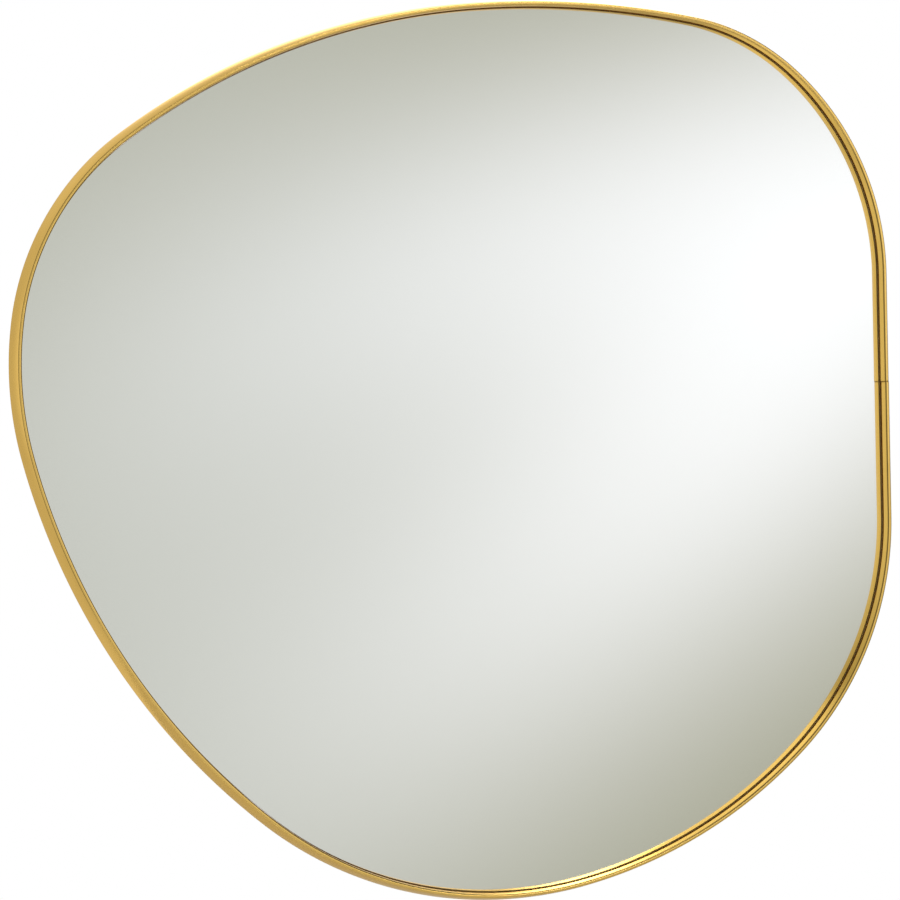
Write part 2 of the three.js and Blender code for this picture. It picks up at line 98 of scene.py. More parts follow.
class NodeSketch:
    """Adds nodes to one tree and wires them from left to right."""

    def __init__(self, tree: bpy.types.NodeTree) -> None:
        """Starts on the tree given, emptied."""
        tree.nodes.clear()
        self.tree = tree

    def add(self, kind: str, inputs: dict[str | int, object] | None = None, **settings: object) -> bpy.types.Node:
        """Adds one node.

        Args:
            kind: the node's type name.
            inputs: values or sockets for its inputs, by name or number.
            settings: values for the node's own attributes.

        Returns:
            The new node.
        """
        node = self.tree.nodes.new(kind)
        for key, value in settings.items():
            setattr(node, key, value)
        for key, value in (inputs or {}).items():
            self.feed(node.inputs[key], value)
        return node

    def feed(self, socket: bpy.types.NodeSocket, value: object) -> None:
        """Sets a socket to a value, or links another socket to it.

        Args:
            socket: the input to feed.
            value: a number, a colour, a vector or an output socket.
        """
        if isinstance(value, bpy.types.NodeSocket):
            self.tree.links.new(value, socket)
        elif isinstance(value, (tuple, list)) and socket.type == "RGBA":
            socket.default_value = (*value[:3], 1.0)
        else:
            socket.default_value = value

    def math(self, operation: str, *values: object) -> bpy.types.NodeSocket:
        """Returns the result of a math operation on numbers or sockets."""
        return self.add("ShaderNodeMath", dict(enumerate(values)), operation=operation).outputs[0]

    def dot(self, vector: bpy.types.NodeSocket, axis: Vector) -> bpy.types.NodeSocket:
        """Returns the dot product of a vector socket and a fixed axis."""
        node = self.add("ShaderNodeVectorMath", {0: vector, 1: tuple(axis)}, operation="DOT_PRODUCT")
        return node.outputs["Value"]

    def noise(self, vector: bpy.types.NodeSocket, scale: float, detail: float = 2.0) -> bpy.types.NodeSocket:
        """Returns noise between about 0 and 1, of this many features a unit, with finer layers on it."""
        return self.add("ShaderNodeTexNoise", {"Vector": vector, "Scale": scale, "Detail": detail}).outputs["Fac"]

    def stretch(self, vector: bpy.types.NodeSocket, scale: Sequence[float]) -> bpy.types.NodeSocket:
        """Returns the coordinates scaled along each axis."""
        return self.add("ShaderNodeMapping", {"Vector": vector, "Scale": tuple(scale)}).outputs[0]

    def spread(self, value: object, low: float, high: float) -> bpy.types.NodeSocket:
        """Returns a 0 to 1 value mapped onto low to high, and held there."""
        return self.add("ShaderNodeMapRange", {"Value": value, "To Min": low, "To Max": high}).outputs[0]

    def window(self, value: object, start: float, end: float) -> bpy.types.NodeSocket:
        """Returns a smooth step of value from 0 at start to 1 at end."""
        return self.add("ShaderNodeMapRange", {"Value": value, "From Min": start, "From Max": end},
                        interpolation_type="SMOOTHSTEP").outputs[0]

    def blend(self, share: object, first: object, second: object) -> bpy.types.NodeSocket:
        """Mixes two colours.

        Args:
            share: how much of the second there is, 0 to 1.
            first: the first colour.
            second: the second colour.

        Returns:
            The mixed colour.
        """
        node = self.add("ShaderNodeMix", data_type="RGBA")
        self.feed(node.inputs["Factor"], share)
        self.feed(node.inputs[6], first)
        self.feed(node.inputs[7], second)
        return node.outputs[2]

    def bump(self, height: bpy.types.NodeSocket, distance: float) -> bpy.types.NodeSocket:
        """Returns a normal bumped by a height socket, a full step of it being distance metres."""
        return self.add("ShaderNodeBump", {"Height": height, "Distance": distance, "Strength": 1.0}).outputs[0]

    def object_place(self) -> bpy.types.NodeSocket:
        """Returns the point's place on its object, in metres."""
        return self.add("ShaderNodeTexCoord").outputs["Object"]


def new_material(name: str) -> tuple[bpy.types.Material, NodeSketch, bpy.types.Node]:
    """Starts a material of one Principled shader.

    Args:
        name: the material's name.

    Returns:
        The material, a sketch on its tree and the shader node.
    """
    material = bpy.data.materials.new(name)
    material.use_nodes = True
    sketch = NodeSketch(material.node_tree)
    shader = sketch.add("ShaderNodeBsdfPrincipled")
    output = sketch.add("ShaderNodeOutputMaterial")
    sketch.feed(output.inputs["Surface"], shader.outputs[0])
    return material, sketch, shader


# ---------------------------------------------------------------------------- finishes


@dataclass(frozen=True)
class BrushedBrass:
    """Satin brass plate on steel bar, brushed along its length.

    The mesh's UV map holds metres along the bar and metres around its section, and its attributes
    tell how close a point is to the weld and how much it lies on a rolled edge.
    """

    colour: Colour = (0.96, 0.635, 0.185)
    dull_colour: Colour = (0.90, 0.57, 0.15)
    weld_colour: Colour = (0.46, 0.27, 0.07)
    grazing_tint: Colour = (1.0, 0.86, 0.57)
    roughness: float = 0.17
    roughness_spread: float = 0.10
    edge_polish: float = 0.05
    line_count: float = 7000.0
    line_length: float = 0.03
    line_depth: float = 1.2e-6
    wave_length: float = 0.05
    waves_across: float = 90.0
    wave_depth: float = 1.6e-5
    mottle_count: float = 45.0
    dulling: float = 0.35
    smear_scale: tuple[float, float, float] = (9.0, 160.0, 1.0)
    weld_roughness: float = 0.3
    anisotropy: float = 0.35

    def build(self) -> bpy.types.Material:
        """Makes the nodes of the brass.

        Returns:
            The material.
        """
        material, sketch, shader = new_material("brushed_brass")
        run = sketch.add("ShaderNodeUVMap", uv_map=SweptBar.UV_NAME).outputs[0]
        place = sketch.object_place()
        lines = sketch.noise(sketch.stretch(run, (1 / self.line_length, self.line_count, 1.0)), 1.0, 3.0)
        mottle = sketch.noise(place, self.mottle_count, 5.0)
        smear = sketch.noise(sketch.stretch(run, self.smear_scale), 1.0, 4.0)
        edge = sketch.add("ShaderNodeAttribute", attribute_name=SweptBar.EDGE_NAME).outputs["Fac"]
        weld = sketch.add("ShaderNodeAttribute", attribute_name=SweptBar.WELD_NAME).outputs["Fac"]

        dulling = sketch.math("MULTIPLY", sketch.window(mottle, 0.45, 0.75), self.dulling)
        colour = sketch.blend(dulling, self.colour, self.dull_colour)
        colour = sketch.blend(weld, colour, self.weld_colour)
        sketch.feed(shader.inputs["Base Color"], colour)

        shine = sketch.spread(smear, self.roughness - self.roughness_spread / 2,
                              self.roughness + self.roughness_spread / 2)
        polish = sketch.math("MULTIPLY", edge, self.edge_polish)
        shine = sketch.math("SUBTRACT", shine, polish)
        shine = sketch.math("ADD", shine, sketch.math("MULTIPLY", weld, self.weld_roughness))
        sketch.feed(shader.inputs["Roughness"], shine)

        waves = sketch.noise(sketch.stretch(run, (1 / self.wave_length, self.waves_across, 1.0)), 1.0, 1.0)
        normal = sketch.bump(waves, self.wave_depth)
        fine = sketch.add("ShaderNodeBump", {"Height": lines, "Distance": self.line_depth, "Normal": normal})
        sketch.feed(shader.inputs["Normal"], fine.outputs[0])
        shader.inputs["Metallic"].default_value = 1.0
        shader.inputs["Specular Tint"].default_value = (*self.grazing_tint, 1.0)
        shader.inputs["Anisotropic"].default_value = self.anisotropy
        tangent = sketch.add("ShaderNodeTangent", direction_type="UV_MAP", uv_map=SweptBar.UV_NAME)
        sketch.feed(shader.inputs["Tangent"], tangent.outputs[0])
        return material


@dataclass(frozen=True)
class ClearGlass:
    """Polished float glass, looked into from the front."""

    tint: Colour = (0.975, 0.985, 0.972)
    refraction: float = 1.52
    smudge_count: float = 6.0
    smudge_roughness: float = 0.006

    def build(self) -> bpy.types.Material:
        """Makes the nodes of the clear glass.

        Returns:
            The material.
        """
        material, sketch, shader = new_material("clear_float_glass")
        place = sketch.object_place()
        smudge = sketch.window(sketch.noise(place, self.smudge_count, 6.0), 0.55, 0.8)
        sketch.feed(shader.inputs["Roughness"], sketch.math("MULTIPLY", smudge, self.smudge_roughness))
        shader.inputs["Base Color"].default_value = (*self.tint, 1.0)
        shader.inputs["Transmission Weight"].default_value = 1.0
        shader.inputs["IOR"].default_value = self.refraction
        return material


@dataclass(frozen=True)
class GroundGlass:
    """The glass's ground edge, coloured as a painted reflection of the brass beside it and of the shade in the
    gap, with grinding lines along it.
    """

    # colour and pale_colour are painted reflection and shade: the brown gold that the brass and the dark gap show
    # in the edge, not the glass's own colour.
    colour: Colour = (0.46, 0.22, 0.03)
    pale_colour: Colour = (0.64, 0.35, 0.075)
    grind_scale: tuple[float, float, float] = (120.0, 9000.0, 120.0)
    chip_count: float = 900.0
    chip_depth: float = 4e-5

    def build(self) -> bpy.types.Material:
        """Makes the nodes of the ground edge.

        Returns:
            The material.
        """
        material, sketch, shader = new_material("ground_glass_edge")
        place = sketch.object_place()
        lines = sketch.noise(sketch.stretch(place, self.grind_scale), 1.0, 2.0)
        chips = sketch.noise(place, self.chip_count, 3.0)
        # painted brass reflection and gap shade, streaked by the grinding lines
        colour = sketch.blend(sketch.window(lines, 0.3, 0.7), self.colour, self.pale_colour)
        sketch.feed(shader.inputs["Base Color"], colour)
        sketch.feed(shader.inputs["Roughness"], sketch.spread(chips, 0.35, 0.7))
        sketch.feed(shader.inputs["Normal"], sketch.bump(chips, self.chip_depth))
        return material


@dataclass(frozen=True)
class Silvering:
    """The silver coat on the back of the glass, seen through it."""

    colour: Colour = (0.955, 0.955, 0.94)
    haze: float = 0.004
    cloud_count: float = 3.0

    def build(self) -> bpy.types.Material:
        """Makes the nodes of the silver coat.

        Returns:
            The material.
        """
        material, sketch, shader = new_material("silver_coat")
        place = sketch.object_place()
        cloud = sketch.noise(place, self.cloud_count, 3.0)
        sketch.feed(shader.inputs["Roughness"], sketch.math("MULTIPLY", cloud, self.haze))
        shader.inputs["Base Color"].default_value = (*self.colour, 1.0)
        shader.inputs["Metallic"].default_value = 1.0
        return material


@dataclass(frozen=True)
class Fibreboard:
    """Raw fibreboard: pressed brown fibres with darker flecks."""

    colour: Colour = (0.36, 0.225, 0.125)
    pale_colour: Colour = (0.50, 0.34, 0.205)
    fleck_colour: Colour = (0.20, 0.115, 0.06)
    cloud_count: float = 14.0
    fibre_scale: tuple[float, float, float] = (700.0, 700.0, 260.0)
    fleck_scale: tuple[float, float, float] = (330.0, 500.0, 900.0)
    fleck_share: float = 0.7
    fibre_share: float = 0.45
    fibre_depth: float = 6e-5

    def build(self) -> bpy.types.Material:
        """Makes the nodes of the fibreboard.

        Returns:
            The material.
        """
        material, sketch, shader = new_material("fibreboard")
        place = sketch.object_place()
        cloud = sketch.noise(place, self.cloud_count, 6.0)
        fibres = sketch.noise(sketch.stretch(place, self.fibre_scale), 1.0, 5.0)
        flecks = sketch.noise(sketch.stretch(place, self.fleck_scale), 1.0, 2.0)
        colour = sketch.blend(sketch.window(cloud, 0.3, 0.7), self.colour, self.pale_colour)
        specks = sketch.math("MULTIPLY", sketch.window(flecks, 0.62, 0.72), self.fleck_share)
        colour = sketch.blend(specks, colour, self.fleck_colour)
        strands = sketch.math("MULTIPLY", sketch.window(fibres, 0.5, 0.8), self.fibre_share)
        colour = sketch.blend(strands, colour, self.pale_colour)
        sketch.feed(shader.inputs["Base Color"], colour)
        sketch.feed(shader.inputs["Roughness"], sketch.spread(cloud, 0.72, 0.92))
        sketch.feed(shader.inputs["Normal"], sketch.bump(fibres, self.fibre_depth))
        return material


@dataclass(frozen=True)
class FoamTape:
    """White closed-cell foam."""

    colour: Colour = (0.82, 0.82, 0.79)
    cell_colour: Colour = (0.70, 0.70, 0.66)
    cell_count: float = 2500.0
    cell_depth: float = 8e-5
    roughness: float = 0.9

    def build(self) -> bpy.types.Material:
        """Makes the nodes of the foam.

        Returns:
            The material.
        """
        material, sketch, shader = new_material("foam_tape")
        place = sketch.object_place()
        cells = sketch.add("ShaderNodeTexVoronoi", {"Vector": place, "Scale": self.cell_count}).outputs["Distance"]
        tone = sketch.blend(sketch.window(cells, 0.1, 0.6), self.colour, self.cell_colour)
        sketch.feed(shader.inputs["Base Color"], tone)
        sketch.feed(shader.inputs["Normal"], sketch.bump(cells, self.cell_depth))
        shader.inputs["Roughness"].default_value = self.roughness
        return material


@dataclass(frozen=True)
class ZincPlate:
    """Bright zinc on pressed steel, faintly clouded, with rougher scratched streaks."""

    name: str = "zinc_plate"
    colour: Colour = (0.66, 0.67, 0.68)
    clouded_colour: Colour = (0.50, 0.51, 0.515)
    roughness: float = 0.26
    cloud_count: float = 210.0
    cloud_depth: float = 1.2e-5
    scratch_scale: tuple[float, float, float] = (4200.0, 900.0, 260.0)
    scratch_roughness: float = 0.12

    def build(self) -> bpy.types.Material:
        """Makes the nodes of the zinc plate.

        Returns:
            The material.
        """
        material, sketch, shader = new_material(self.name)
        place = sketch.object_place()
        cloud = sketch.noise(place, self.cloud_count, 4.0)
        scratches = sketch.noise(sketch.stretch(place, self.scratch_scale), 1.0, 2.0)
        colour = sketch.blend(sketch.window(cloud, 0.35, 0.7), self.colour, self.clouded_colour)
        sketch.feed(shader.inputs["Base Color"], colour)
        worn = sketch.math("MULTIPLY", sketch.window(scratches, 0.55, 0.7), self.scratch_roughness)
        plain = sketch.spread(cloud, self.roughness - 0.06, self.roughness + 0.08)
        sketch.feed(shader.inputs["Roughness"], sketch.math("ADD", plain, worn))
        sketch.feed(shader.inputs["Normal"], sketch.bump(cloud, self.cloud_depth))
        shader.inputs["Metallic"].default_value = 1.0
        return material


@dataclass(frozen=True)
class TabBrass:
    """The tabs' thinner plating, duller than the bar's, with brown clouds for the weld's heat tint laid at random.
    """

    colour: Colour = (0.66, 0.44, 0.14)
    dull_colour: Colour = (0.40, 0.25, 0.075)
    cloud_count: float = 150.0
    cloud_depth: float = 2e-5

    def build(self) -> bpy.types.Material:
        """Makes the nodes of the tabs' brass.

        Returns:
            The material.
        """
        material, sketch, shader = new_material("tab_brass")
        place = sketch.object_place()
        cloud = sketch.noise(place, self.cloud_count, 5.0)
        colour = sketch.blend(sketch.window(cloud, 0.35, 0.7), self.colour, self.dull_colour)
        sketch.feed(shader.inputs["Base Color"], colour)
        sketch.feed(shader.inputs["Roughness"], sketch.spread(cloud, 0.24, 0.46))
        sketch.feed(shader.inputs["Normal"], sketch.bump(cloud, self.cloud_depth))
        shader.inputs["Metallic"].default_value = 1.0
        return material


# ---------------------------------------------------------------------------- outline


@dataclass(frozen=True)
class Arc:
    """One tangent arc of the outline: its radius, its headings in radians and its centre (x, z)."""

    radius: float
    start: float
    end: float
    centre: Point2

    @property
    def length(self) -> float:
        """How long the arc is."""
        return self.radius * (self.end - self.start)


@dataclass(frozen=True)
class Place:
    """A spot on the bar's outer edge: x, z, heading, and the distance along the outline."""

    x: float
    z: float
    heading: float
    distance: float

    def at(self, inset: float, y: float, along: float = 0.0) -> Vector:
        """Returns the point that lies an inset inwards, at depth y, and further along the bar."""
        cos, sin = math.cos(self.heading), math.sin(self.heading)
        return Vector((self.x + along * cos - inset * sin, y, self.z + along * sin + inset * cos))


@dataclass
class Outline:
    """The pebble outline of the bar's edge at the wall: one straight side and a run of tangent arcs.

    It is followed counter-clockwise, seen from the front, from the foot of its straight right side.
    A radius of None is solved, so that the line closes on itself.
    """

    height: float = 800 * MM
    straight: float = 221 * MM
    lean: float = 1.4
    radii: tuple[float | None, ...] = (
        249 * MM, 204 * MM, None, 610 * MM, 240 * MM, 310 * MM, None, 341 * MM, 429 * MM, 295 * MM)
    turns: tuple[float, ...] = (50.5, 29.5, 14.5, 32, 45.5, 22, 35.5, 52, 32, 46.5)
    arcs: list[Arc] = field(default_factory=list)

    def __post_init__(self) -> None:
        """Solves the open radii and centres the outline on the origin."""
        headings = np.radians(90 + self.lean + np.concatenate([[0], np.cumsum(self.turns)]))
        runs = np.stack([np.diff(np.sin(headings)), -np.diff(np.cos(headings))], axis=1)
        start = np.array([math.cos(headings[0]), math.sin(headings[0])]) * self.straight
        gap = start + sum(r * run for r, run in zip(self.radii, runs) if r)
        free = [i for i, r in enumerate(self.radii) if r is None]
        solved = dict(zip(free, np.linalg.solve(runs[free].T, -gap)))
        radii = [solved[i] if r is None else r for i, r in enumerate(self.radii)]
        pen, centres = start, []
        for radius, heading, run in zip(radii, headings, runs):
            centres.append(pen + radius * np.array([-math.sin(heading), math.cos(heading)]))
            pen = pen + radius * run
        rough = [Arc(r, a, b, tuple(c)) for r, a, b, c in zip(radii, headings, headings[1:], centres)]
        points = np.array([self._on_arc(arc, h) for arc in rough for h in np.linspace(arc.start, arc.end, 60)])
        low, high = points.min(0), points.max(0)
        scale = self.height / (high[1] - low[1])
        middle = (low + high) / 2
        self.straight *= scale
        self.arcs = [Arc(a.radius * scale, a.start, a.end, tuple((np.array(a.centre) - middle) * scale))
                     for a in rough]

    @staticmethod
    def _on_arc(arc: Arc, heading: float) -> Point2:
        """Returns the point of an arc that has this heading."""
        return (arc.centre[0] + arc.radius * math.sin(heading), arc.centre[1] - arc.radius * math.cos(heading))

    @property
    def length(self) -> float:
        """The whole way round."""
        return self.straight + sum(arc.length for arc in self.arcs)

    def place(self, distance: float) -> Place:
        """Finds a spot on the outline.

        Args:
            distance: metres from the foot of the straight side.

        Returns:
            The place there.
        """
        left = distance % self.length
        first = self.arcs[0]
        if left <= self.straight:
            x, z = self._on_arc(first, first.start)
            back = left - self.straight
            return Place(x + back * math.cos(first.start), z + back * math.sin(first.start), first.start, distance)
        left -= self.straight
        for arc in self.arcs:
            if left <= arc.length:
                break
            left -= arc.length
        heading = arc.start + min(left, arc.length) / arc.radius
        return Place(*self._on_arc(arc, heading), heading, distance)

    def walk(self, count: int) -> list[Place]:
        """Returns evenly spaced places all round."""
        return [self.place(self.length * i / count) for i in range(count)]


# ---------------------------------------------------------------------------- mesh tools


def put_in_scene(name: str, data: bpy.types.ID) -> bpy.types.Object:
    """Makes an object and links it to the scene.

    Args:
        name: the object's name.
        data: its mesh, lamp or camera.

    Returns:
        The object.
    """
    piece = bpy.data.objects.new(name, data)
    bpy.context.scene.collection.objects.link(piece)
    return piece


def tube_faces(around: int, levels: int) -> list[Sequence[int]]:
    """Lists the faces of a closed tube: its two caps, then its quads.

    Args:
        around: how many points each level has.
        levels: how many levels there are.

    Returns:
        The faces, as point numbers.
    """
    faces: list[Sequence[int]] = [range(around), range((levels - 1) * around, levels * around)[::-1]]
    return faces + [(k * around + i, (k + 1) * around + i, (k + 1) * around + (i + 1) % around,
                     k * around + (i + 1) % around) for k in range(levels - 1) for i in range(around)]


def disc_faces(around: int, rings: int) -> list[Sequence[int]]:
    """Lists the faces of a disc: a fan about point 0, then quads from ring to ring.

    Args:
        around: how many points each ring has.
        rings: how many rings there are.

    Returns:
        The faces, as point numbers.
    """
    faces: list[Sequence[int]] = [(0, 1 + k, 1 + (k + 1) % around) for k in range(around)]
    for first in range(1, 1 + (rings - 1) * around, around):
        faces += [(first + k, first + around + k, first + around + (k + 1) % around, first + (k + 1) % around)
                  for k in range(around)]
    return faces


def make_object(name: str, verts: Iterable[Sequence[float]], faces: Iterable[Sequence[int]]) -> bpy.types.Object:
    """Makes a mesh object in the scene.

    Args:
        name: the piece's name.
        verts: its points.
        faces: its faces, as point numbers.

    Returns:
        The object, with its normals turned outwards.
    """
    mesh = bpy.data.meshes.new(name)
    mesh.from_pydata([tuple(v) for v in verts], [], [tuple(f) for f in faces])
    mesh.update()
    piece = put_in_scene(name, mesh)
    shape = bmesh.new()
    shape.from_mesh(mesh)
    if shape.calc_volume(signed=True) < 0:
        bmesh.ops.reverse_faces(shape, faces=shape.faces)
    shape.to_mesh(mesh)
    shape.free()
    return piece


def smooth(piece: bpy.types.Object, sharp_over: float = 35.0) -> None:
    """Shades a piece smooth, but for edges sharper than the angle given in degrees."""
    piece.data.shade_smooth()
    piece.data.set_sharp_from_angle(angle=math.radians(sharp_over))


def apply_modifiers(piece: bpy.types.Object) -> None:
    """Replaces a piece's mesh by what its modifiers make of it.

    Args:
        piece: the piece.
    """
    graph = bpy.context.evaluated_depsgraph_get()
    graph.update()
    done = bpy.data.meshes.new_from_object(piece.evaluated_get(graph))
    piece.modifiers.clear()
    piece.data = done


def arc_points(centre: Point2, radius: float, start: float, end: float, count: int) -> list[Point2]:
    """Returns points on an arc from one angle to another, in degrees, both ends among them."""
    angles = np.radians(np.linspace(start, end, count))
    return [(centre[0] + radius * math.cos(a), centre[1] + radius * math.sin(a)) for a in angles]


def rounded_polygon(corners: Sequence[Point2], radii: Sequence[float], count: int) -> np.ndarray:
    """Rounds the corners of a convex polygon.

    Args:
        corners: the polygon's corners, counter-clockwise.
        radii: each corner's radius.
        count: how many points each rounded corner has.

    Returns:
        One row of points for each corner.
    """
    rows = []
    for i, radius in enumerate(radii):
        corner = np.array(corners[i])
        before, after = (np.array(corners[k % len(corners)]) - corner for k in (i - 1, i + 1))
        before, after = before / np.linalg.norm(before), after / np.linalg.norm(after)
        half = math.acos(before @ after) / 2
        middle = (before + after) / np.linalg.norm(before + after)
        centre = corner + middle * radius / math.sin(half)
        first = corner + before * radius / math.tan(half) - centre
        start, sweep = math.degrees(math.atan2(first[1], first[0])), 180 - 2 * math.degrees(half)
        rows.append(arc_points(tuple(centre), radius, start, start + sweep, count))
    return np.array(rows)


@dataclass
class SweptBar:
    """A closed section carried along a run of places, with UVs in metres."""

    UV_NAME = "run"
    EDGE_NAME = "rolled_edge"
    WELD_NAME = "weld"

    name: str
    rings: np.ndarray
    along: np.ndarray
    closed: bool

    def build(self) -> bpy.types.Object:
        """Makes the mesh, its quads and its UV map.

        Returns:
            The bar's object.
        """
        count, around = self.rings.shape[:2]
        laps = count if self.closed else count - 1
        quads = [(i * around + j, i * around + (j + 1) % around,
                  (i + 1) % count * around + (j + 1) % around, (i + 1) % count * around + j)
                 for i in range(laps) for j in range(around)]
        if not self.closed:
            quads += [tuple(range(around))[::-1], tuple((count - 1) * around + j for j in range(around))]
        piece = make_object(self.name, self.rings.reshape(-1, 3), quads)
        steps = np.linalg.norm(np.roll(self.rings[0], -1, 0) - self.rings[0], axis=1)
        across = np.concatenate([[0], np.cumsum(steps)])
        along = np.append(self.along, self.along[-1] + self.along[1] - self.along[0])
        layer = piece.data.uv_layers.new(name=self.UV_NAME)
        for face in piece.data.polygons:
            lap = min(face.vertices) // around
            wraps = self.closed and lap == 0 and max(face.vertices) // around == count - 1
            for corner in face.loop_indices:
                ring, point = divmod(piece.data.loops[corner].vertex_index, around)
                run = along[count] if wraps and ring == 0 else along[ring]
                turn = across[point]
                if point == 0 and any(v % around == around - 1 for v in face.vertices):
                    turn = across[around]
                layer.data[corner].uv = (run, turn)
        return piece


@dataclass
class SheetBlank:
    """A flat blank of sheet metal, which is folded along one direction.

    Its flat shape lies in (u, w): u is the way along the fold's path, and w is across.
    """

    name: str
    outline: list[Point2]
    holes: list[tuple[Point2, float]]
    cuts: list[float]
    thickness: float
    path: Callable[[float], tuple[Vector, Vector]]
    across: Vector
    bevel: float
    hole_sides: int = 32

    def build(self) -> bpy.types.Object:
        """Fills the blank, folds it, gives it thickness and rounds its rims.

        Returns:
            The folded piece.
        """
        blank = bmesh.new()
        loops = [self.outline] + [arc_points(c, r, 0, 360 - 360 / self.hole_sides, self.hole_sides)
                                  for c, r in self.holes]
        edges = []
        for loop in loops:
            verts = [blank.verts.new((u, w, 0)) for u, w in loop]
            edges += [blank.edges.new((verts[i - 1], v)) for i, v in enumerate(verts)]
        bmesh.ops.triangle_fill(blank, edges=edges, use_beauty=True)
        for cut in self.cuts:
            bmesh.ops.bisect_plane(blank, geom=[*blank.verts, *blank.edges, *blank.faces],
                                   plane_co=(cut, 0, 0), plane_no=(1, 0, 0))
        blank.verts.index_update()
        flat = [tuple(v.co[:2]) for v in blank.verts]
        faces = [[v.index for v in f.verts] for f in blank.faces]
        rim = [[v.index for v in e.verts] for e in blank.edges if len(e.link_faces) == 1]
        blank.free()
        verts: list[Vector] = []
        for half in (-0.5, 0.5):
            for u, w in flat:
                point, normal = self.path(u)
                verts.append(point + normal * (half * self.thickness) + self.across * w)
        count = len(flat)
        solid = [f[::-1] for f in faces] + [[v + count for v in f] for f in faces]
        solid += [(a, b, b + count, a + count) for a, b in rim]
        piece = make_object(self.name, verts, solid)
        self._round_rims(piece)
        smooth(piece)
        return piece

    def _round_rims(self, piece: bpy.types.Object) -> None:
        """Makes the faces agree and bevels the edges between the sheet's faces and its rim.

        Args:
            piece: the folded piece.
        """
        shape = bmesh.new()
        shape.from_mesh(piece.data)
        bmesh.ops.recalc_face_normals(shape, faces=shape.faces)
        rims = [e for e in shape.edges if len(e.link_faces) == 2 and e.calc_face_angle() > math.radians(60)]
        bmesh.ops.bevel(shape, geom=rims, offset=self.bevel, segments=2, affect="EDGES", clamp_overlap=True)
        shape.to_mesh(piece.data)
        shape.free()


def dress(piece: bpy.types.Object, finish: bpy.types.Material, slot: Slot, body: str, *nodes: str) -> None:
    """Gives a piece its finish and its body, and lets it stand for CAD nodes.

    Args:
        piece: the piece.
        finish: its first material.
        slot: the record's material slot; not used.
        body: the CAD body that it rides on.
        nodes: the CAD nodes that it replaces.
    """
    if not piece.data.materials:
        piece.data.materials.append(finish)
    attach(piece, body)
    if nodes:
        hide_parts(*nodes)
    LOG.info("%s: %d faces, for %s", piece.name, len(piece.data.polygons), ", ".join(nodes) or "the scene alone")


# ---------------------------------------------------------------------------- frame bar


@dataclass
class FrameBar:
    """The wedge-section bar, bent round the outline and butt welded on its straight side."""

    outline: Outline
    face: float = 3.1 * MM
    flare: float = 6.2 * MM
    depth: float = 25 * MM
    edge_radius: float = 1.2 * MM
    front_edge_radius: float = 0.7 * MM
    outer_crown: float = 0.4 * MM
    corner_points: int = 9
    wall_points: int = 12
    face_points: int = 2
    places: int = 900
    weld_height: float = 122.2 * MM
    weld_depth: float = 0.16 * MM
    weld_reach: float = 0.33 * MM
    weld_stain: float = 1.6
    weld_clear: float = 3.2 * MM
    weld_places: tuple[float, ...] = (0.03, 0.1, 0.2, 0.3, 0.42, 0.6, 0.9, 1.6, 3)
    weld_step: float = 0.15 * MM
    step_fade: float = 60 * MM

    def section(self) -> list[tuple[float, float, float]]:
        """Draws the wedge section, with rolled edges and a crowned outer side.

        Returns:
            The points as inset, depth and how far each is on a rolled edge.
        """
        inner = self.flare + self.face
        corners = ((self.flare, -self.depth), (inner, -self.depth), (inner, 0.0), (0.0, 0.0))
        radii = (self.front_edge_radius, self.edge_radius, self.edge_radius, self.edge_radius)
        rows = rounded_polygon(corners, radii, self.corner_points)
        loop: list[tuple[float, float, float]] = []
        for side, (row, follows) in enumerate(zip(rows, np.roll(rows, -1, axis=0))):
            loop += [(*point, math.sin(math.pi * k / (len(row) - 1))) for k, point in enumerate(row)]
            run = follows[0] - row[-1]
            is_wall = abs(run[1]) > self.depth / 2
            outwards = np.array([run[1], -run[0]]) / np.linalg.norm(run)
            crown = self.outer_crown if side == len(rows) - 1 else 0.0
            for share in np.linspace(0, 1, (self.wall_points if is_wall else self.face_points) + 1)[1:-1]:
                point = row[-1] + run * share + outwards * crown * 4 * share * (1 - share)
                loop.append((*point, 0.0))
        return loop

    def build(self, finish: bpy.types.Material) -> bpy.types.Object:
        """Sweeps the section round the outline, with the weld's groove and the step at its joint.

        Args:
            finish: the bar's metal.

        Returns:
            The bar's object.
        """
        close = np.array([*(-off for off in self.weld_places[::-1]), *self.weld_places]) * MM
        even = np.arange(self.places) * self.outline.length / self.places
        even = even[np.abs(even - self.weld_height) > self.weld_clear]
        distances = np.sort(np.concatenate([even, self.weld_height + close]))
        section = np.array(self.section())
        points = section[:, :2]
        run = np.roll(points, -1, axis=0) - np.roll(points, 1, axis=0)
        inwards = np.stack([-run[:, 1], run[:, 0]], axis=1) / np.linalg.norm(run, axis=1)[:, None]
        rings = np.zeros((len(distances), len(section), 3))
        weld = np.zeros((len(distances), len(section)))
        for i, distance in enumerate(distances):
            place = self.outline.place(distance)
            off = distance - self.weld_height
            groove = math.exp(-(off / self.weld_reach) ** 2)
            step = -math.copysign(self.weld_step, off) * math.exp(-abs(off) / self.step_fade)
            for j, (inset, depth) in enumerate(points + inwards * groove * self.weld_depth):
                rings[i, j] = place.at(inset - step, depth)
            weld[i] = math.exp(-(off / (self.weld_stain * self.weld_reach)) ** 2)
        piece = SweptBar("brass_frame_bar", rings, distances, True).build()
        self._mark(piece, SweptBar.EDGE_NAME, np.tile(section[:, 2], len(distances)))
        self._mark(piece, SweptBar.WELD_NAME, weld.ravel())
        piece.data.shade_smooth()
        dress(piece, finish, Slot.FRAME, FIXED_BODY, "frame_bar")
        return piece

    @staticmethod
    def _mark(piece: bpy.types.Object, name: str, values: np.ndarray) -> None:
        """Stores one number for each point of the mesh."""
        layer = piece.data.attributes.new(name, "FLOAT", "POINT")
        layer.data.foreach_set("value", values.astype(np.float32))


# ---------------------------------------------------------------------------- glass and board


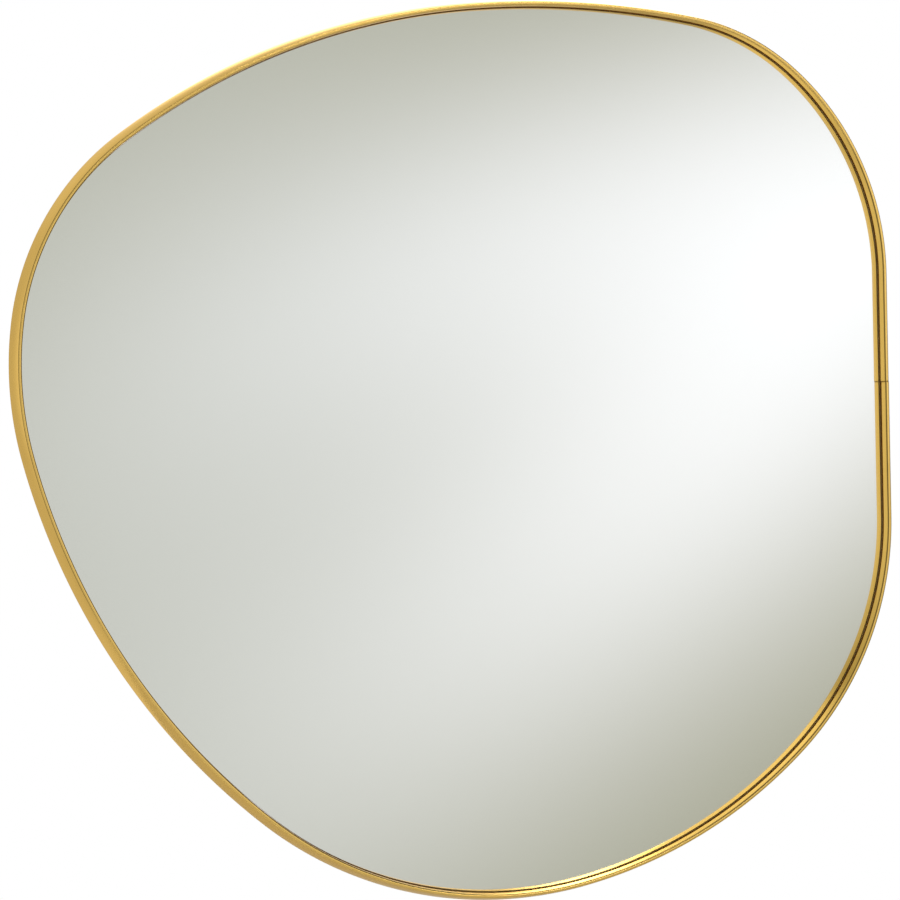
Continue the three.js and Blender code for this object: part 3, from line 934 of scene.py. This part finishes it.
@dataclass
class MirrorGlass:
    """The silvered glass: clear in front, ground round its edge, silvered behind."""

    outline: Outline
    inset: float = 9.5 * MM
    front: float = -13.9 * MM
    thickness: float = 3.4 * MM
    arris: float = 0.3 * MM
    places: int = 720

    def build(self, clear: bpy.types.Material, ground: bpy.types.Material,
              silver: bpy.types.Material) -> bpy.types.Object:
        """Makes the sheet as one closed mesh with three finishes.

        Args:
            clear: the finish of the front.
            ground: the finish of the edge and its two arrises, whose colour is a painted reflection of the brass
                and its shade.
            silver: the finish of the back.

        Returns:
            The glass's object.
        """
        back = self.front + self.thickness
        levels = ((self.inset + self.arris, self.front), (self.inset, self.front + self.arris),
                  (self.inset, back - self.arris), (self.inset + self.arris, back))
        places = self.outline.walk(self.places)
        verts = [place.at(inset, y) for inset, y in levels for place in places]
        piece = make_object("silvered_glass", verts, tube_faces(self.places, len(levels)))
        for finish in (clear, ground, silver):
            piece.data.materials.append(finish)
        for face in piece.data.polygons:
            is_flat = abs(face.normal.y) > 0.99
            face.material_index = 1 if not is_flat else (0 if face.normal.y < 0 else 2)
        dress(piece, clear, Slot.MIRROR, FIXED_BODY, "mirror_glass")
        return piece


@dataclass
class BackingBoard:
    """The fibreboard panel, which closes the frame behind the glass, and the foam tapes before it."""

    outline: Outline
    tape_solids: list[bpy.types.Object]
    inset: float = 9.5 * MM
    front: float = -9.5 * MM
    thickness: float = 3.5 * MM
    edge_round: float = 0.4 * MM
    places: int = 360
    tape_back: float = -9.55 * MM
    tape_thickness: float = 0.9 * MM
    tape_round: float = 0.15 * MM

    def build(self, board: bpy.types.Material, tape: bpy.types.Material) -> None:
        """Makes the panel and the tapes.

        Args:
            board: the panel's finish.
            tape: the tapes' finish.
        """
        back = self.front + self.thickness
        corners = ((self.inset, self.front), (self.inset + 2 * self.edge_round, self.front),
                   (self.inset + 2 * self.edge_round, back), (self.inset, back))
        rounded = rounded_polygon(corners, [self.edge_round] * 4, 4)
        rim = [*rounded[2][2:], *rounded[3], *rounded[0], *rounded[1][:2]]
        walk = self.outline.walk(self.places)
        verts = [place.at(inset, y) for inset, y in rim for place in walk]
        panel = make_object("fibreboard_panel", verts, tube_faces(self.places, len(rim)))
        smooth(panel, 50)
        dress(panel, board, Slot.BOARD, FIXED_BODY, "backing_board")
        for solid in self.tape_solids:
            self._tape(solid, tape)

    def _tape(self, solid: bpy.types.Object, finish: bpy.types.Material) -> None:
        """Lays one strip of tape as wide and as long as its solid.

        Args:
            solid: the tape's CAD object.
            finish: the foam.
        """
        low, high = (Vector(corner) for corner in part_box(solid.name))
        front = self.tape_back - self.tape_thickness
        shape = bmesh.new()
        bmesh.ops.create_cube(shape, size=1.0)
        for vert in shape.verts:
            share = vert.co + Vector((0.5, 0.5, 0.5))
            vert.co = (low.x + (high.x - low.x) * share.x, front + self.tape_thickness * share.y,
                       low.z + (high.z - low.z) * share.z)
        bmesh.ops.bevel(shape, geom=shape.edges[:], offset=self.tape_round, segments=2, affect="EDGES")
        mesh = bpy.data.meshes.new(f"{solid.name}_strip")
        shape.to_mesh(mesh)
        shape.free()
        strip = put_in_scene(mesh.name, mesh)
        smooth(strip, 50)
        dress(strip, finish, Slot.TAPE, FIXED_BODY, solid.name)


# ---------------------------------------------------------------------------- screws


@dataclass
class PanScrews:
    """Pan-head screws with a cross recess, made once and set at every place."""

    shank_radius: float = 1.75 * MM
    bite: float = 3.3 * MM
    tip: float = 1.6 * MM
    head_radius: float = 3.4 * MM
    head_height: float = 2 * MM
    rim_round: float = 0.35 * MM
    crown_share: float = 0.48
    crown_start: float = 70.0
    neck: float = 0.05 * MM
    recess_span: float = 3.7 * MM
    recess_width: float = 0.85 * MM
    recess_depth: float = 1.15 * MM
    sides: int = 48

    def profile(self, grip: float) -> list[Point2]:
        """Draws the screw's outline from its tip to its crown.

        Args:
            grip: what the screw clamps, between its head and the board.

        Returns:
            The points as radius and height.
        """
        level = 1 - self.crown_share
        crown = [(self.head_radius * math.sin(t), self.head_height * (level + self.crown_share * math.cos(t)))
                 for t in np.linspace(math.radians(self.crown_start), 0, 12)]
        rim = arc_points((self.head_radius - self.rim_round, self.rim_round), self.rim_round, -90, 20, 6)
        reach = grip + self.bite
        shank = [(0.0, -reach), (self.shank_radius, self.tip - reach), (self.shank_radius, -self.neck)]
        return shank + rim + crown

    def blank(self, name: str, grip: float) -> bpy.types.Object:
        """Turns the profile and cuts the cross recess.

        Args:
            name: the piece's name.
            grip: what the screw clamps.

        Returns:
            The screw, with its head towards +Y and its seat at the origin.
        """
        profile = self.profile(grip)
        inner = [p for p in profile if p[0] > 1e-7]
        verts = [Vector((0, profile[0][1], 0)), Vector((0, profile[-1][1], 0))]
        for radius, height in inner:
            for k in range(self.sides):
                turn = 2 * math.pi * k / self.sides
                verts.append(Vector((radius * math.cos(turn), height, radius * math.sin(turn))))
        faces: list[Sequence[int]] = []
        for k in range(self.sides):
            step = (k + 1) % self.sides
            faces.append((0, 2 + k, 2 + step))
            faces.append((1, 2 + (len(inner) - 1) * self.sides + step, 2 + (len(inner) - 1) * self.sides + k))
            for level in range(len(inner) - 1):
                base = 2 + level * self.sides
                faces.append((base + k, base + self.sides + k, base + self.sides + step, base + step))
        piece = make_object(name, verts, faces)
        cutter = self._recess()
        cut = piece.modifiers.new("recess", "BOOLEAN")
        cut.operation, cut.object, cut.solver = "DIFFERENCE", cutter, "EXACT"
        apply_modifiers(piece)
        bpy.data.objects.remove(cutter)
        smooth(piece)
        return piece

    def _recess(self) -> bpy.types.Object:
        """Makes the cutter of the cross recess: a star that narrows to a blunt point.

        Returns:
            The cutter's object.
        """
        top, floor = self.head_height * 1.1, self.head_height - self.recess_depth
        rings = []
        for height, share in ((floor, 0.32), (floor + 0.35 * self.recess_depth, 0.62), (top, 1.0)):
            arm, half = self.recess_span / 2 * share, self.recess_width / 2 * (0.55 + 0.45 * share)
            star = []
            for quarter in range(4):
                turn = math.pi / 2 * quarter
                for x, z in ((arm, -half), (arm, half), (half, half)):
                    star.append(Vector((x * math.cos(turn) - z * math.sin(turn), height,
                                        x * math.sin(turn) + z * math.cos(turn))))
            rings.append(star)
        verts = [v for star in rings for v in star]
        n = len(rings[0])
        faces = [(k * n + i, k * n + (i + 1) % n, (k + 1) * n + (i + 1) % n, (k + 1) * n + i)
                 for k in range(2) for i in range(n)]
        faces += [tuple(range(n))[::-1], tuple(range(2 * n, 3 * n))]
        return make_object("recess_cutter", verts, faces)

    def drive(self, name: str, node: str, seat: Vector, grip: float, turn: float,
              finish: bpy.types.Material) -> bpy.types.Object:
        """Sets one screw in its place.

        Args:
            name: the piece's name.
            node: the CAD node that it stands for.
            seat: the point under the middle of its head.
            grip: what it clamps.
            turn: how far its recess is turned, in degrees.
            finish: its plating.

        Returns:
            The screw's object.
        """
        piece = self.blank(name, grip)
        piece.data.transform(Matrix.Translation(seat) @ Matrix.Rotation(math.radians(turn), 4, "Y"))
        dress(piece, finish, Slot.HARDWARE, FIXED_BODY, node)
        return piece


# ---------------------------------------------------------------------------- tabs


@dataclass
class FrameTabs:
    """Angles of sheet, spot-welded inside the bar, each holding the board with one screw."""

    outline: Outline
    screws: PanScrews
    count: int = 8
    bar_inner_side: float = 9.3 * MM
    sheet: float = 1.5 * MM
    width: float = 20 * MM
    reach: float = 18 * MM
    corner: float = 4 * MM
    bend: float = 0.8 * MM
    rear: float = 1 * MM
    weld_gap: float = 0.3 * MM
    hole_reach: float = 7 * MM
    hole_radius: float = 2.15 * MM
    board_back: float = -6 * MM
    seat_gap: float = 0.2 * MM
    bevel: float = 0.22 * MM
    nugget_radius: float = 1.9 * MM
    nugget_height: float = 0.28 * MM
    nugget_reach: float = 1.35 * MM
    nugget_root: float = 0.15 * MM
    nugget_sides: int = 20
    nugget_rings: int = 4
    recess_turn: float = 23.0

    def build(self, finish: bpy.types.Material, plating: bpy.types.Material) -> None:
        """Makes every tab with its two weld spots and its screw.

        Args:
            finish: the tabs' metal.
            plating: the screws' metal.
        """
        lengths = [self.outline.straight, *(arc.length for arc in self.outline.arcs)]
        radii = [math.inf, *(arc.radius for arc in self.outline.arcs)]
        for i in range(self.count):
            distance = (i + 0.5) / self.count * self.outline.length
            place = self.outline.place(distance)
            radius = radii[int(np.searchsorted(np.cumsum(lengths), distance))]
            inset = self.bar_inner_side + self.weld_gap + self.width ** 2 / (8 * radius)
            tab = self._tab(f"welded_tab_{i + 1}", place, inset)
            dress(tab, finish, Slot.FRAME, FIXED_BODY, f"frame_tab_{i + 1}")
            seat_depth = self.board_back + 2 * self.seat_gap + self.sheet
            seat = place.at(inset + self.hole_reach, seat_depth)
            self.screws.drive(f"tab_pan_screw_{i + 1}", f"tab_screw_{i + 1}", seat,
                              seat_depth - self.board_back, self.recess_turn * i, plating)
            for along in (-1, 1):
                self._nugget(f"spot_weld_{2 * i + (along + 3) // 2}", place, inset, along, finish)

    def _tab(self, name: str, place: Place, inset: float) -> bpy.types.Object:
        """Folds one tab: along the bar, round the bend and in behind the board.

        Args:
            name: the piece's name.
            place: where it stands on the outline.
            inset: how far in from the outline the welded leg's near face is.

        Returns:
            The tab's object.
        """
        front = self.board_back + self.seat_gap
        mid, bend = self.sheet / 2, self.bend + self.sheet / 2
        leg = -self.rear - (front + self.sheet + self.bend)
        turn = bend * math.pi / 2
        total = leg + turn + self.reach - self.sheet - self.bend

        def path(u: float) -> tuple[Vector, Vector]:
            """Follows the sheet's middle.

            Args:
                u: metres from the welded leg's edge.

            Returns:
                The point there and the normal.
            """
            if u < leg:
                s, y, normal = mid, -self.rear - u, (1.0, 0.0)
            elif u < leg + turn:
                angle = (u - leg) / bend
                s = self.sheet + self.bend - bend * math.cos(angle)
                y = front + self.sheet + self.bend - bend * math.sin(angle)
                normal = (math.cos(angle), math.sin(angle))
            else:
                s, y, normal = self.sheet + self.bend + u - leg - turn, front + mid, (0.0, 1.0)
            base = place.at(inset + s, y)
            tip = place.at(inset + s + normal[0], y + normal[1])
            return base, tip - base

        half = self.width / 2
        end = arc_points((total - self.corner, half - self.corner), self.corner, 90, 0, 8)
        outline = [(0.0, -half), *[(u, -w) for u, w in end], *end[::-1], (0.0, half)]
        hole = ((leg + turn + self.hole_reach - self.sheet - self.bend, 0.0), self.hole_radius)
        cuts = [leg + turn * k / 8 for k in range(9)]
        across = Vector((math.cos(place.heading), 0, math.sin(place.heading)))
        return SheetBlank(name, outline, [hole], cuts, self.sheet, path, across, self.bevel).build()

    def _nugget(self, name: str, place: Place, inset: float, along: int, finish: bpy.types.Material) -> None:
        """Adds the low dome that a spot weld leaves on the welded leg.

        Args:
            name: the piece's name.
            place: where its tab stands on the outline.
            inset: how far in the leg's near face is.
            along: -1 or 1, the side of the tab's middle.
            finish: the tab's metal.
        """
        sides, rings = self.nugget_sides, self.nugget_rings
        face = inset + self.sheet
        depth = -self.rear - self.nugget_reach
        verts = [place.at(face + self.nugget_height, depth, along * self.width / 4)]
        for ring in range(1, rings + 1):
            share = ring / rings
            for k in range(sides):
                turn = 2 * math.pi * k / sides
                verts.append(place.at(
                    face + self.nugget_height * (1 - share ** 2) - (self.nugget_root if ring == rings else 0),
                    depth + 0.5 * self.nugget_radius * share * math.sin(turn),
                    along * self.width / 4 + self.nugget_radius * share * math.cos(turn)))
        faces = disc_faces(sides, rings)
        faces.append([1 + (rings - 1) * sides + k for k in range(sides)][::-1])
        piece = make_object(name, verts, faces)
        smooth(piece, 60)
        dress(piece, finish, Slot.FRAME, FIXED_BODY)


# ---------------------------------------------------------------------------- hangers


@dataclass
class StrapHangers:
    """Two strap hangers: sheet folded round a wire D-ring, two screws each."""

    screws: PanScrews
    spacing: float = 400 * MM
    height: float = 215 * MM
    board_back: float = -6 * MM
    seat_gap: float = 0.2 * MM
    sheet: float = 1 * MM
    width: float = 16 * MM
    hole_first: float = 19.5 * MM
    hole_spacing: float = 10 * MM
    end: float = 6 * MM
    corner: float = 5 * MM
    hole_radius: float = 2.15 * MM
    wire_radius: float = 1.25 * MM
    pivot_clearance: float = 0.15 * MM
    side_clearance: float = 0.5 * MM
    leg: float = 3.25 * MM
    bend: float = 1.65 * MM
    slit: float = 0.3 * MM
    rest_gap: float = 0.3 * MM
    bevel: float = 0.16 * MM
    lap: float = 0.02 * MM
    wire_sides: int = 20
    wire_end: float = 0.86
    recess_turn: float = 31.0
    next_recess_turn: float = 40.0
    side_recess_turn: float = 11.0

    @property
    def barrel_radius(self) -> float:
        """The outer radius of the sheet where it goes round the wire."""
        return self.wire_radius + self.pivot_clearance + self.sheet

    @property
    def half_width(self) -> float:
        """From the ring's middle to the wire's centre line at its sides."""
        return self.width / 2 + self.side_clearance + self.wire_radius

    def build(self, plating: bpy.types.Material, wire: bpy.types.Material) -> None:
        """Makes both hangers.

        Args:
            plating: the straps' and screws' metal.
            wire: the rings' metal.
        """
        for side in Side:
            pivot = Vector((side.value * self.spacing / 2,
                            self.board_back + self.seat_gap + self.barrel_radius, self.height))
            strap = self._strap(f"folded_strap_{side.word}", pivot)
            dress(strap, plating, Slot.HARDWARE, FIXED_BODY, f"hanger_strap_{side.word}")
            ring = self._ring(f"wire_ring_{side.word}", pivot)
            dress(ring, wire, Slot.HARDWARE, f"ring_{side.word}", f"hanger_ring_{side.word}")
            seat_depth = self.board_back + 2 * self.seat_gap + 2 * self.sheet
            for k in range(2):
                seat = Vector((pivot.x, seat_depth, pivot.z - self.hole_first - k * self.hole_spacing))
                turn = self.recess_turn + self.next_recess_turn * k + self.side_recess_turn * side.value
                self.screws.drive(f"strap_pan_screw_{side.word}_{k + 1}", f"hanger_screw_{side.word}_{k + 1}",
                                  seat, seat_depth - self.board_back, turn, plating)

    def _strap(self, name: str, pivot: Vector) -> bpy.types.Object:
        """Folds one strap: up behind the board, round the wire and down over itself.

        Args:
            name: the piece's name.
            pivot: the middle of the ring's straight side.

        Returns:
            The strap's object.
        """
        tail = self.hole_first + self.hole_spacing + self.end
        middle = self.barrel_radius - self.sheet / 2
        back_leg = -self.barrel_radius + 1.5 * self.sheet
        slope_end = (-(middle * math.sin(math.radians(45))), middle * math.sin(math.radians(45)))
        drop = slope_end[1] - back_leg
        slope = drop * math.sqrt(2)
        wrap = middle * math.radians(225)
        rest = tail + slope_end[0] - drop
        total = tail + wrap + slope + rest

        def path(u: float) -> tuple[Vector, Vector]:
            """Follows the sheet's middle.

            Args:
                u: metres from the front leg's end.

            Returns:
                The point there and the normal.
            """
            if u < tail:
                z, y, normal = u - tail, -middle, (0.0, -1.0)
            elif u < tail + wrap:
                angle = (u - tail) / middle - math.pi / 2
                z, y = middle * math.cos(angle), middle * math.sin(angle)
                normal = (math.cos(angle), math.sin(angle))
            elif u < tail + wrap + slope:
                share = (u - tail - wrap) / slope
                z, y = slope_end[0] - drop * share, slope_end[1] - drop * share
                normal = (-math.sqrt(0.5), math.sqrt(0.5))
            else:
                z, y = slope_end[0] - drop - (u - tail - wrap - slope), back_leg + self.lap
                normal = (0.0, 1.0)
            return pivot + Vector((0, y, z)), Vector((0, normal[1], normal[0]))

        half = self.width / 2
        near = arc_points((self.corner, half - self.corner), self.corner, 180, 90, 8)
        far = arc_points((total - self.corner, half - self.corner), self.corner, 90, 0, 8)
        upper = near + far
        outline = [(u, -w) for u, w in upper] + upper[::-1]
        holes = [((self.end + k * self.hole_spacing, 0.0), self.hole_radius) for k in range(2)]
        holes += [((total - self.end - k * self.hole_spacing, 0.0), self.hole_radius) for k in range(2)]
        cuts = [tail + wrap * k / 20 for k in range(21)] + [tail + wrap + slope]
        blank = SheetBlank(name, outline, holes, cuts, self.sheet, path, Vector((1, 0, 0)), self.bevel)
        return blank.build()

    def centre_line(self) -> list[Point2]:
        """Draws the ring's centre line about its pivot.

        Returns:
            The points as x and z, from one end to the other.
        """
        bar = self.half_width - self.bend
        right = [(self.slit / 2, 0.0), (bar / 2, 0.0)]
        right += arc_points((bar, -self.bend), self.bend, 90, 0, 10)
        right += [(self.half_width, -(self.bend + self.leg) / 2)]
        bow = arc_points((0, -self.leg), self.half_width, 0, -180, 49)
        left = [(-x, z) for x, z in right[::-1]]
        return right + bow + left

    def _ring(self, name: str, pivot: Vector) -> bpy.types.Object:
        """Bends one ring of wire and lays it down over the strap.

        Args:
            name: the piece's name.
            pivot: the middle of its straight side.

        Returns:
            The ring's object.
        """
        line = np.array(self.centre_line())
        tangents = np.gradient(line, axis=0)
        tangents /= np.linalg.norm(tangents, axis=1)[:, None]
        over_edge = self.leg + math.sqrt(self.half_width ** 2 - (self.width / 2) ** 2)
        lift = 2 * self.sheet + self.wire_radius + self.rest_gap - self.barrel_radius
        tilt = Matrix.Rotation(math.asin(lift / over_edge), 4, "X")
        turns = np.linspace(0, 2 * math.pi, self.wire_sides, endpoint=False)
        rings = np.zeros((len(line), self.wire_sides, 3))
        for i, ((x, z), (tx, tz)) in enumerate(zip(line, tangents)):
            near_end = min(i, len(line) - 1 - i) == 0
            radius = self.wire_radius * (self.wire_end if near_end else 1.0)
            for j, turn in enumerate(turns):
                out = radius * math.cos(turn)
                rings[i, j] = pivot + tilt @ Vector((x - tz * out, radius * math.sin(turn), z + tx * out))
        along = np.concatenate([[0], np.cumsum(np.linalg.norm(np.diff(line, axis=0), axis=1))])
        piece = SweptBar(name, rings, along, False).build()
        smooth(piece, 50)
        return piece


# ---------------------------------------------------------------------------- studio


@dataclass(frozen=True)
class SoftBox:
    """A soft patch of light, far off, in one direction of the studio.

    Attributes:
        azimuth: degrees from -Y towards +X.
        elevation: degrees above the horizon.
        tilt: degrees that its long axis leans from level.
        long: half its length, as the tangent of the angle.
        short: half its width, in the same way.
        level: its light, red, green and blue.
        hardness: 1 fades like a glow, 3 has a clear edge.
    """

    azimuth: float
    elevation: float
    tilt: float
    long: float
    short: float
    level: Colour
    hardness: float = 1.0

    def axes(self) -> tuple[Vector, Vector, Vector]:
        """Works out where the box lies.

        Returns:
            The directions of its centre, its long axis and its short axis.
        """
        az, el, tilt = (math.radians(v) for v in (self.azimuth, self.elevation, self.tilt))
        centre = Vector((math.sin(az) * math.cos(el), -math.cos(az) * math.cos(el), math.sin(el)))
        level = Vector((math.cos(az), math.sin(az), 0))
        upright = centre.cross(level)
        if upright.z < 0:
            upright.negate()
        long = level * math.cos(tilt) + upright * math.sin(tilt)
        short = upright * math.cos(tilt) - level * math.sin(tilt)
        return centre, long, short


def grey(level: float) -> Colour:
    """Returns a colourless light of this level."""
    return (level, level, level)


@dataclass
class Studio:
    """A plain pale floor, a white surround and soft light from all round.

    What the camera sees directly is white. The metal and the glass see the soft boxes.
    """

    surround: Colour = (0.13, 0.128, 0.12)
    boxes: tuple[SoftBox, ...] = (
        SoftBox(5.0, 0.0, 0.0, 0.95, 0.75, (0.242, 0.237, 0.143), 3.0),
        SoftBox(18.3, 4.8, 20.0, 0.1662, 0.0664, (0.356, 0.362, 0.432)),
        SoftBox(23.2, 1.6, 41.3, 0.2332, 0.0824, (0.598, 0.605, 0.715)),
        SoftBox(8.2, -2.1, -11.6, 0.1616, 0.2403, (0.231, 0.246, 0.308)),
        SoftBox(-21.0, -3.0, 0.0, 0.17, 0.30, grey(0.50)),
        SoftBox(15.0, 17.8, 0.0, 0.125, 0.07, grey(6.5), 2.0),
        SoftBox(-4.0, 21.5, 0.0, 0.22, 0.08, grey(0.85), 2.0),
        SoftBox(0.0, -22.5, 0.0, 0.35, 0.09, grey(0.55)),
        SoftBox(190.0, 0.0, 0.0, 0.95, 0.9, (0.44, 0.44, 0.42), 3.0),
        SoftBox(166.0, 21.0, 0.0, 0.24, 0.17, grey(2.6), 1.5),
        SoftBox(195.0, 27.0, 0.0, 0.40, 0.18, grey(0.20)),
        SoftBox(183.0, -28.0, 0.0, 0.40, 0.18, grey(0.22)),
        SoftBox(234.0, 0.0, 0.0, 0.20, 0.35, grey(0.95)),
        SoftBox(180.0, 75.0, 0.0, 0.42, 0.55, grey(1.5), 2.0),
        SoftBox(0.0, -88.0, 0.0, 0.8, 0.8, (0.36, 0.35, 0.33), 2.0),
    )
    floor_height: float = -0.78
    floor_radius: float = 1.3
    floor_clear: float = 0.6
    floor_rings: int = 6
    floor_sides: int = 96
    floor_roughness: float = 0.7
    horizon: float = 0.02
    floor_colour: Colour = (0.86, 0.86, 0.85)
    fill_energy: float = 26.0
    fill_size: float = 1.8
    fill_place: tuple[float, float, float] = (-0.9, -1.6, 2.1)

    def build(self) -> None:
        """Makes the world, the floor and the lamp."""
        self._world()
        self._floor()
        self._lamp()
        bpy.context.scene.view_settings.view_transform = "Standard"

    def _world(self) -> None:
        """Draws the soft boxes into the world by direction, and white for the camera."""
        world = bpy.data.worlds.new("studio")
        world.use_nodes = True
        bpy.context.scene.world = world
        sketch = NodeSketch(world.node_tree)
        way = sketch.add("ShaderNodeTexCoord").outputs["Generated"]
        total: object = self.surround
        for box in self.boxes:
            total = self._add_box(sketch, way, box, total)
        soft = sketch.add("ShaderNodeBackground", {"Color": total, "Strength": 1.0})
        white = sketch.add("ShaderNodeBackground", {"Color": (1.0, 1.0, 1.0), "Strength": 1.0})
        seen = sketch.add("ShaderNodeLightPath").outputs["Is Camera Ray"]
        mix = sketch.add("ShaderNodeMixShader", {0: seen, 1: soft.outputs[0], 2: white.outputs[0]})
        output = sketch.add("ShaderNodeOutputWorld")
        sketch.feed(output.inputs["Surface"], mix.outputs[0])

    def _add_box(self, sketch: NodeSketch, way: bpy.types.NodeSocket, box: SoftBox,
                 total: object) -> bpy.types.NodeSocket:
        """Adds one soft box to the light so far.

        Args:
            sketch: the world's tree.
            way: the direction looked in.
            box: the soft box.
            total: the colour so far.

        Returns:
            The colour with the box in it.
        """
        centre, long, short = box.axes()
        ahead = sketch.dot(way, centre)
        near = sketch.math("MAXIMUM", ahead, self.horizon)
        u = sketch.math("DIVIDE", sketch.math("DIVIDE", sketch.dot(way, long), near), box.long)
        v = sketch.math("DIVIDE", sketch.math("DIVIDE", sketch.dot(way, short), near), box.short)
        reach = sketch.math("ADD", sketch.math("MULTIPLY", u, u), sketch.math("MULTIPLY", v, v))
        fall = sketch.math("EXPONENT", sketch.math("MULTIPLY", sketch.math("POWER", reach, box.hardness), -1.0))
        share = sketch.math("MULTIPLY", fall, sketch.math("GREATER_THAN", ahead, self.horizon))
        light = sketch.add("ShaderNodeVectorMath", {0: box.level, "Scale": share}, operation="SCALE")
        return sketch.add("ShaderNodeVectorMath", {0: total, 1: light.outputs[0]}, operation="ADD").outputs[0]

    def _floor(self) -> None:
        """Makes the round pale floor, which fades into the white surround at its rim."""
        rings, sides = self.floor_rings, self.floor_sides
        verts = [Vector((0, 0, self.floor_height))]
        for ring in range(1, rings + 1):
            radius = self.floor_radius * ring / rings
            for k in range(sides):
                turn = 2 * math.pi * k / sides
                verts.append(Vector((radius * math.cos(turn), radius * math.sin(turn), self.floor_height)))
        mesh = bpy.data.meshes.new("studio_floor")
        mesh.from_pydata(verts, [], disc_faces(sides, rings))
        floor = put_in_scene("studio_floor", mesh)
        mesh.materials.append(self._floor_finish())

    def _floor_finish(self) -> bpy.types.Material:
        """Makes the floor's finish: pale and matt, and white at the rim for the camera.

        Returns:
            The material.
        """
        material, sketch, shader = new_material("pale_floor")
        shader.inputs["Base Color"].default_value = (*self.floor_colour, 1.0)
        shader.inputs["Roughness"].default_value = self.floor_roughness
        place = sketch.object_place()
        flat = sketch.add("ShaderNodeVectorMath", {0: place, 1: (1.0, 1.0, 0.0)}, operation="MULTIPLY")
        away = sketch.add("ShaderNodeVectorMath", {0: flat.outputs[0]}, operation="LENGTH").outputs["Value"]
        seen = sketch.add("ShaderNodeLightPath").outputs["Is Camera Ray"]
        share = sketch.math("MULTIPLY", sketch.window(away, self.floor_clear, self.floor_radius * 0.98), seen)
        white = sketch.add("ShaderNodeEmission", {"Color": (1.0, 1.0, 1.0), "Strength": 1.0})
        mix = sketch.add("ShaderNodeMixShader", {0: share, 1: shader.outputs[0], 2: white.outputs[0]})
        output = next(n for n in material.node_tree.nodes if n.type == "OUTPUT_MATERIAL")
        sketch.feed(output.inputs["Surface"], mix.outputs[0])
        return material

    def _lamp(self) -> None:
        """Hangs one large soft lamp, which matt surfaces see and mirrors don't."""
        data = bpy.data.lights.new("soft_lamp", "AREA")
        data.shape, data.size, data.energy = "DISK", self.fill_size, self.fill_energy
        lamp = put_in_scene("soft_lamp", data)
        lamp.location = self.fill_place
        lamp.rotation_euler = (-Vector(self.fill_place)).to_track_quat("-Z", "Y").to_euler()
        lamp.visible_glossy = False
        lamp.visible_transmission = False


@dataclass
class PhotoCamera:
    """The camera at the photograph's viewpoint: to the left of the mirror and a little above."""

    place: tuple[float, float, float] = (-0.5894, -2.2043, 0.0339)
    target: tuple[float, float, float] = (-0.0187, -0.0125, -0.0001)
    lens: float = 103.35
    sensor: float = 36.0

    def build(self) -> bpy.types.Object:
        """Makes the camera and gives it to the scene.

        Returns:
            The camera's object.
        """
        data = bpy.data.cameras.new("photo_camera")
        data.lens, data.sensor_width, data.clip_end = self.lens, self.sensor, 50.0
        camera = put_in_scene("photo_camera", data)
        camera.location = self.place
        way = Vector(self.target) - Vector(self.place)
        camera.rotation_euler = way.to_track_quat("-Z", "Y").to_euler()
        bpy.context.scene.camera = camera
        return camera


# ---------------------------------------------------------------------------- the whole scene


def corners(box: Iterable[Iterable[float]]) -> list[list[float]]:
    """Returns a box's two corners as plain lists of numbers."""
    return [[float(v) for v in corner] for corner in box]


def main() -> None:
    logging.basicConfig(level=logging.INFO, format="%(name)s: %(message)s")
    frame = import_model()
    PhotoCamera().build()
    Studio().build()

    outline = Outline()
    LOG.info("outline %.1f mm round, solved radii %s mm", outline.length / MM,
             [round(arc.radius / MM, 1) for arc in outline.arcs])
    FrameBar(outline).build(BrushedBrass().build())
    MirrorGlass(outline).build(ClearGlass().build(), GroundGlass().build(), Silvering().build())
    tapes = [node for name, node in frame["nodes"].items() if name.startswith("foam_tape")]
    BackingBoard(outline, tapes).build(Fibreboard().build(), FoamTape().build())
    screws = PanScrews()
    zinc = ZincPlate().build()
    FrameTabs(outline, screws).build(TabBrass().build(), zinc)
    StrapHangers(screws).build(zinc, ZincPlate("zinc_wire", roughness=0.2).build())


if __name__ == "__main__":
    main()
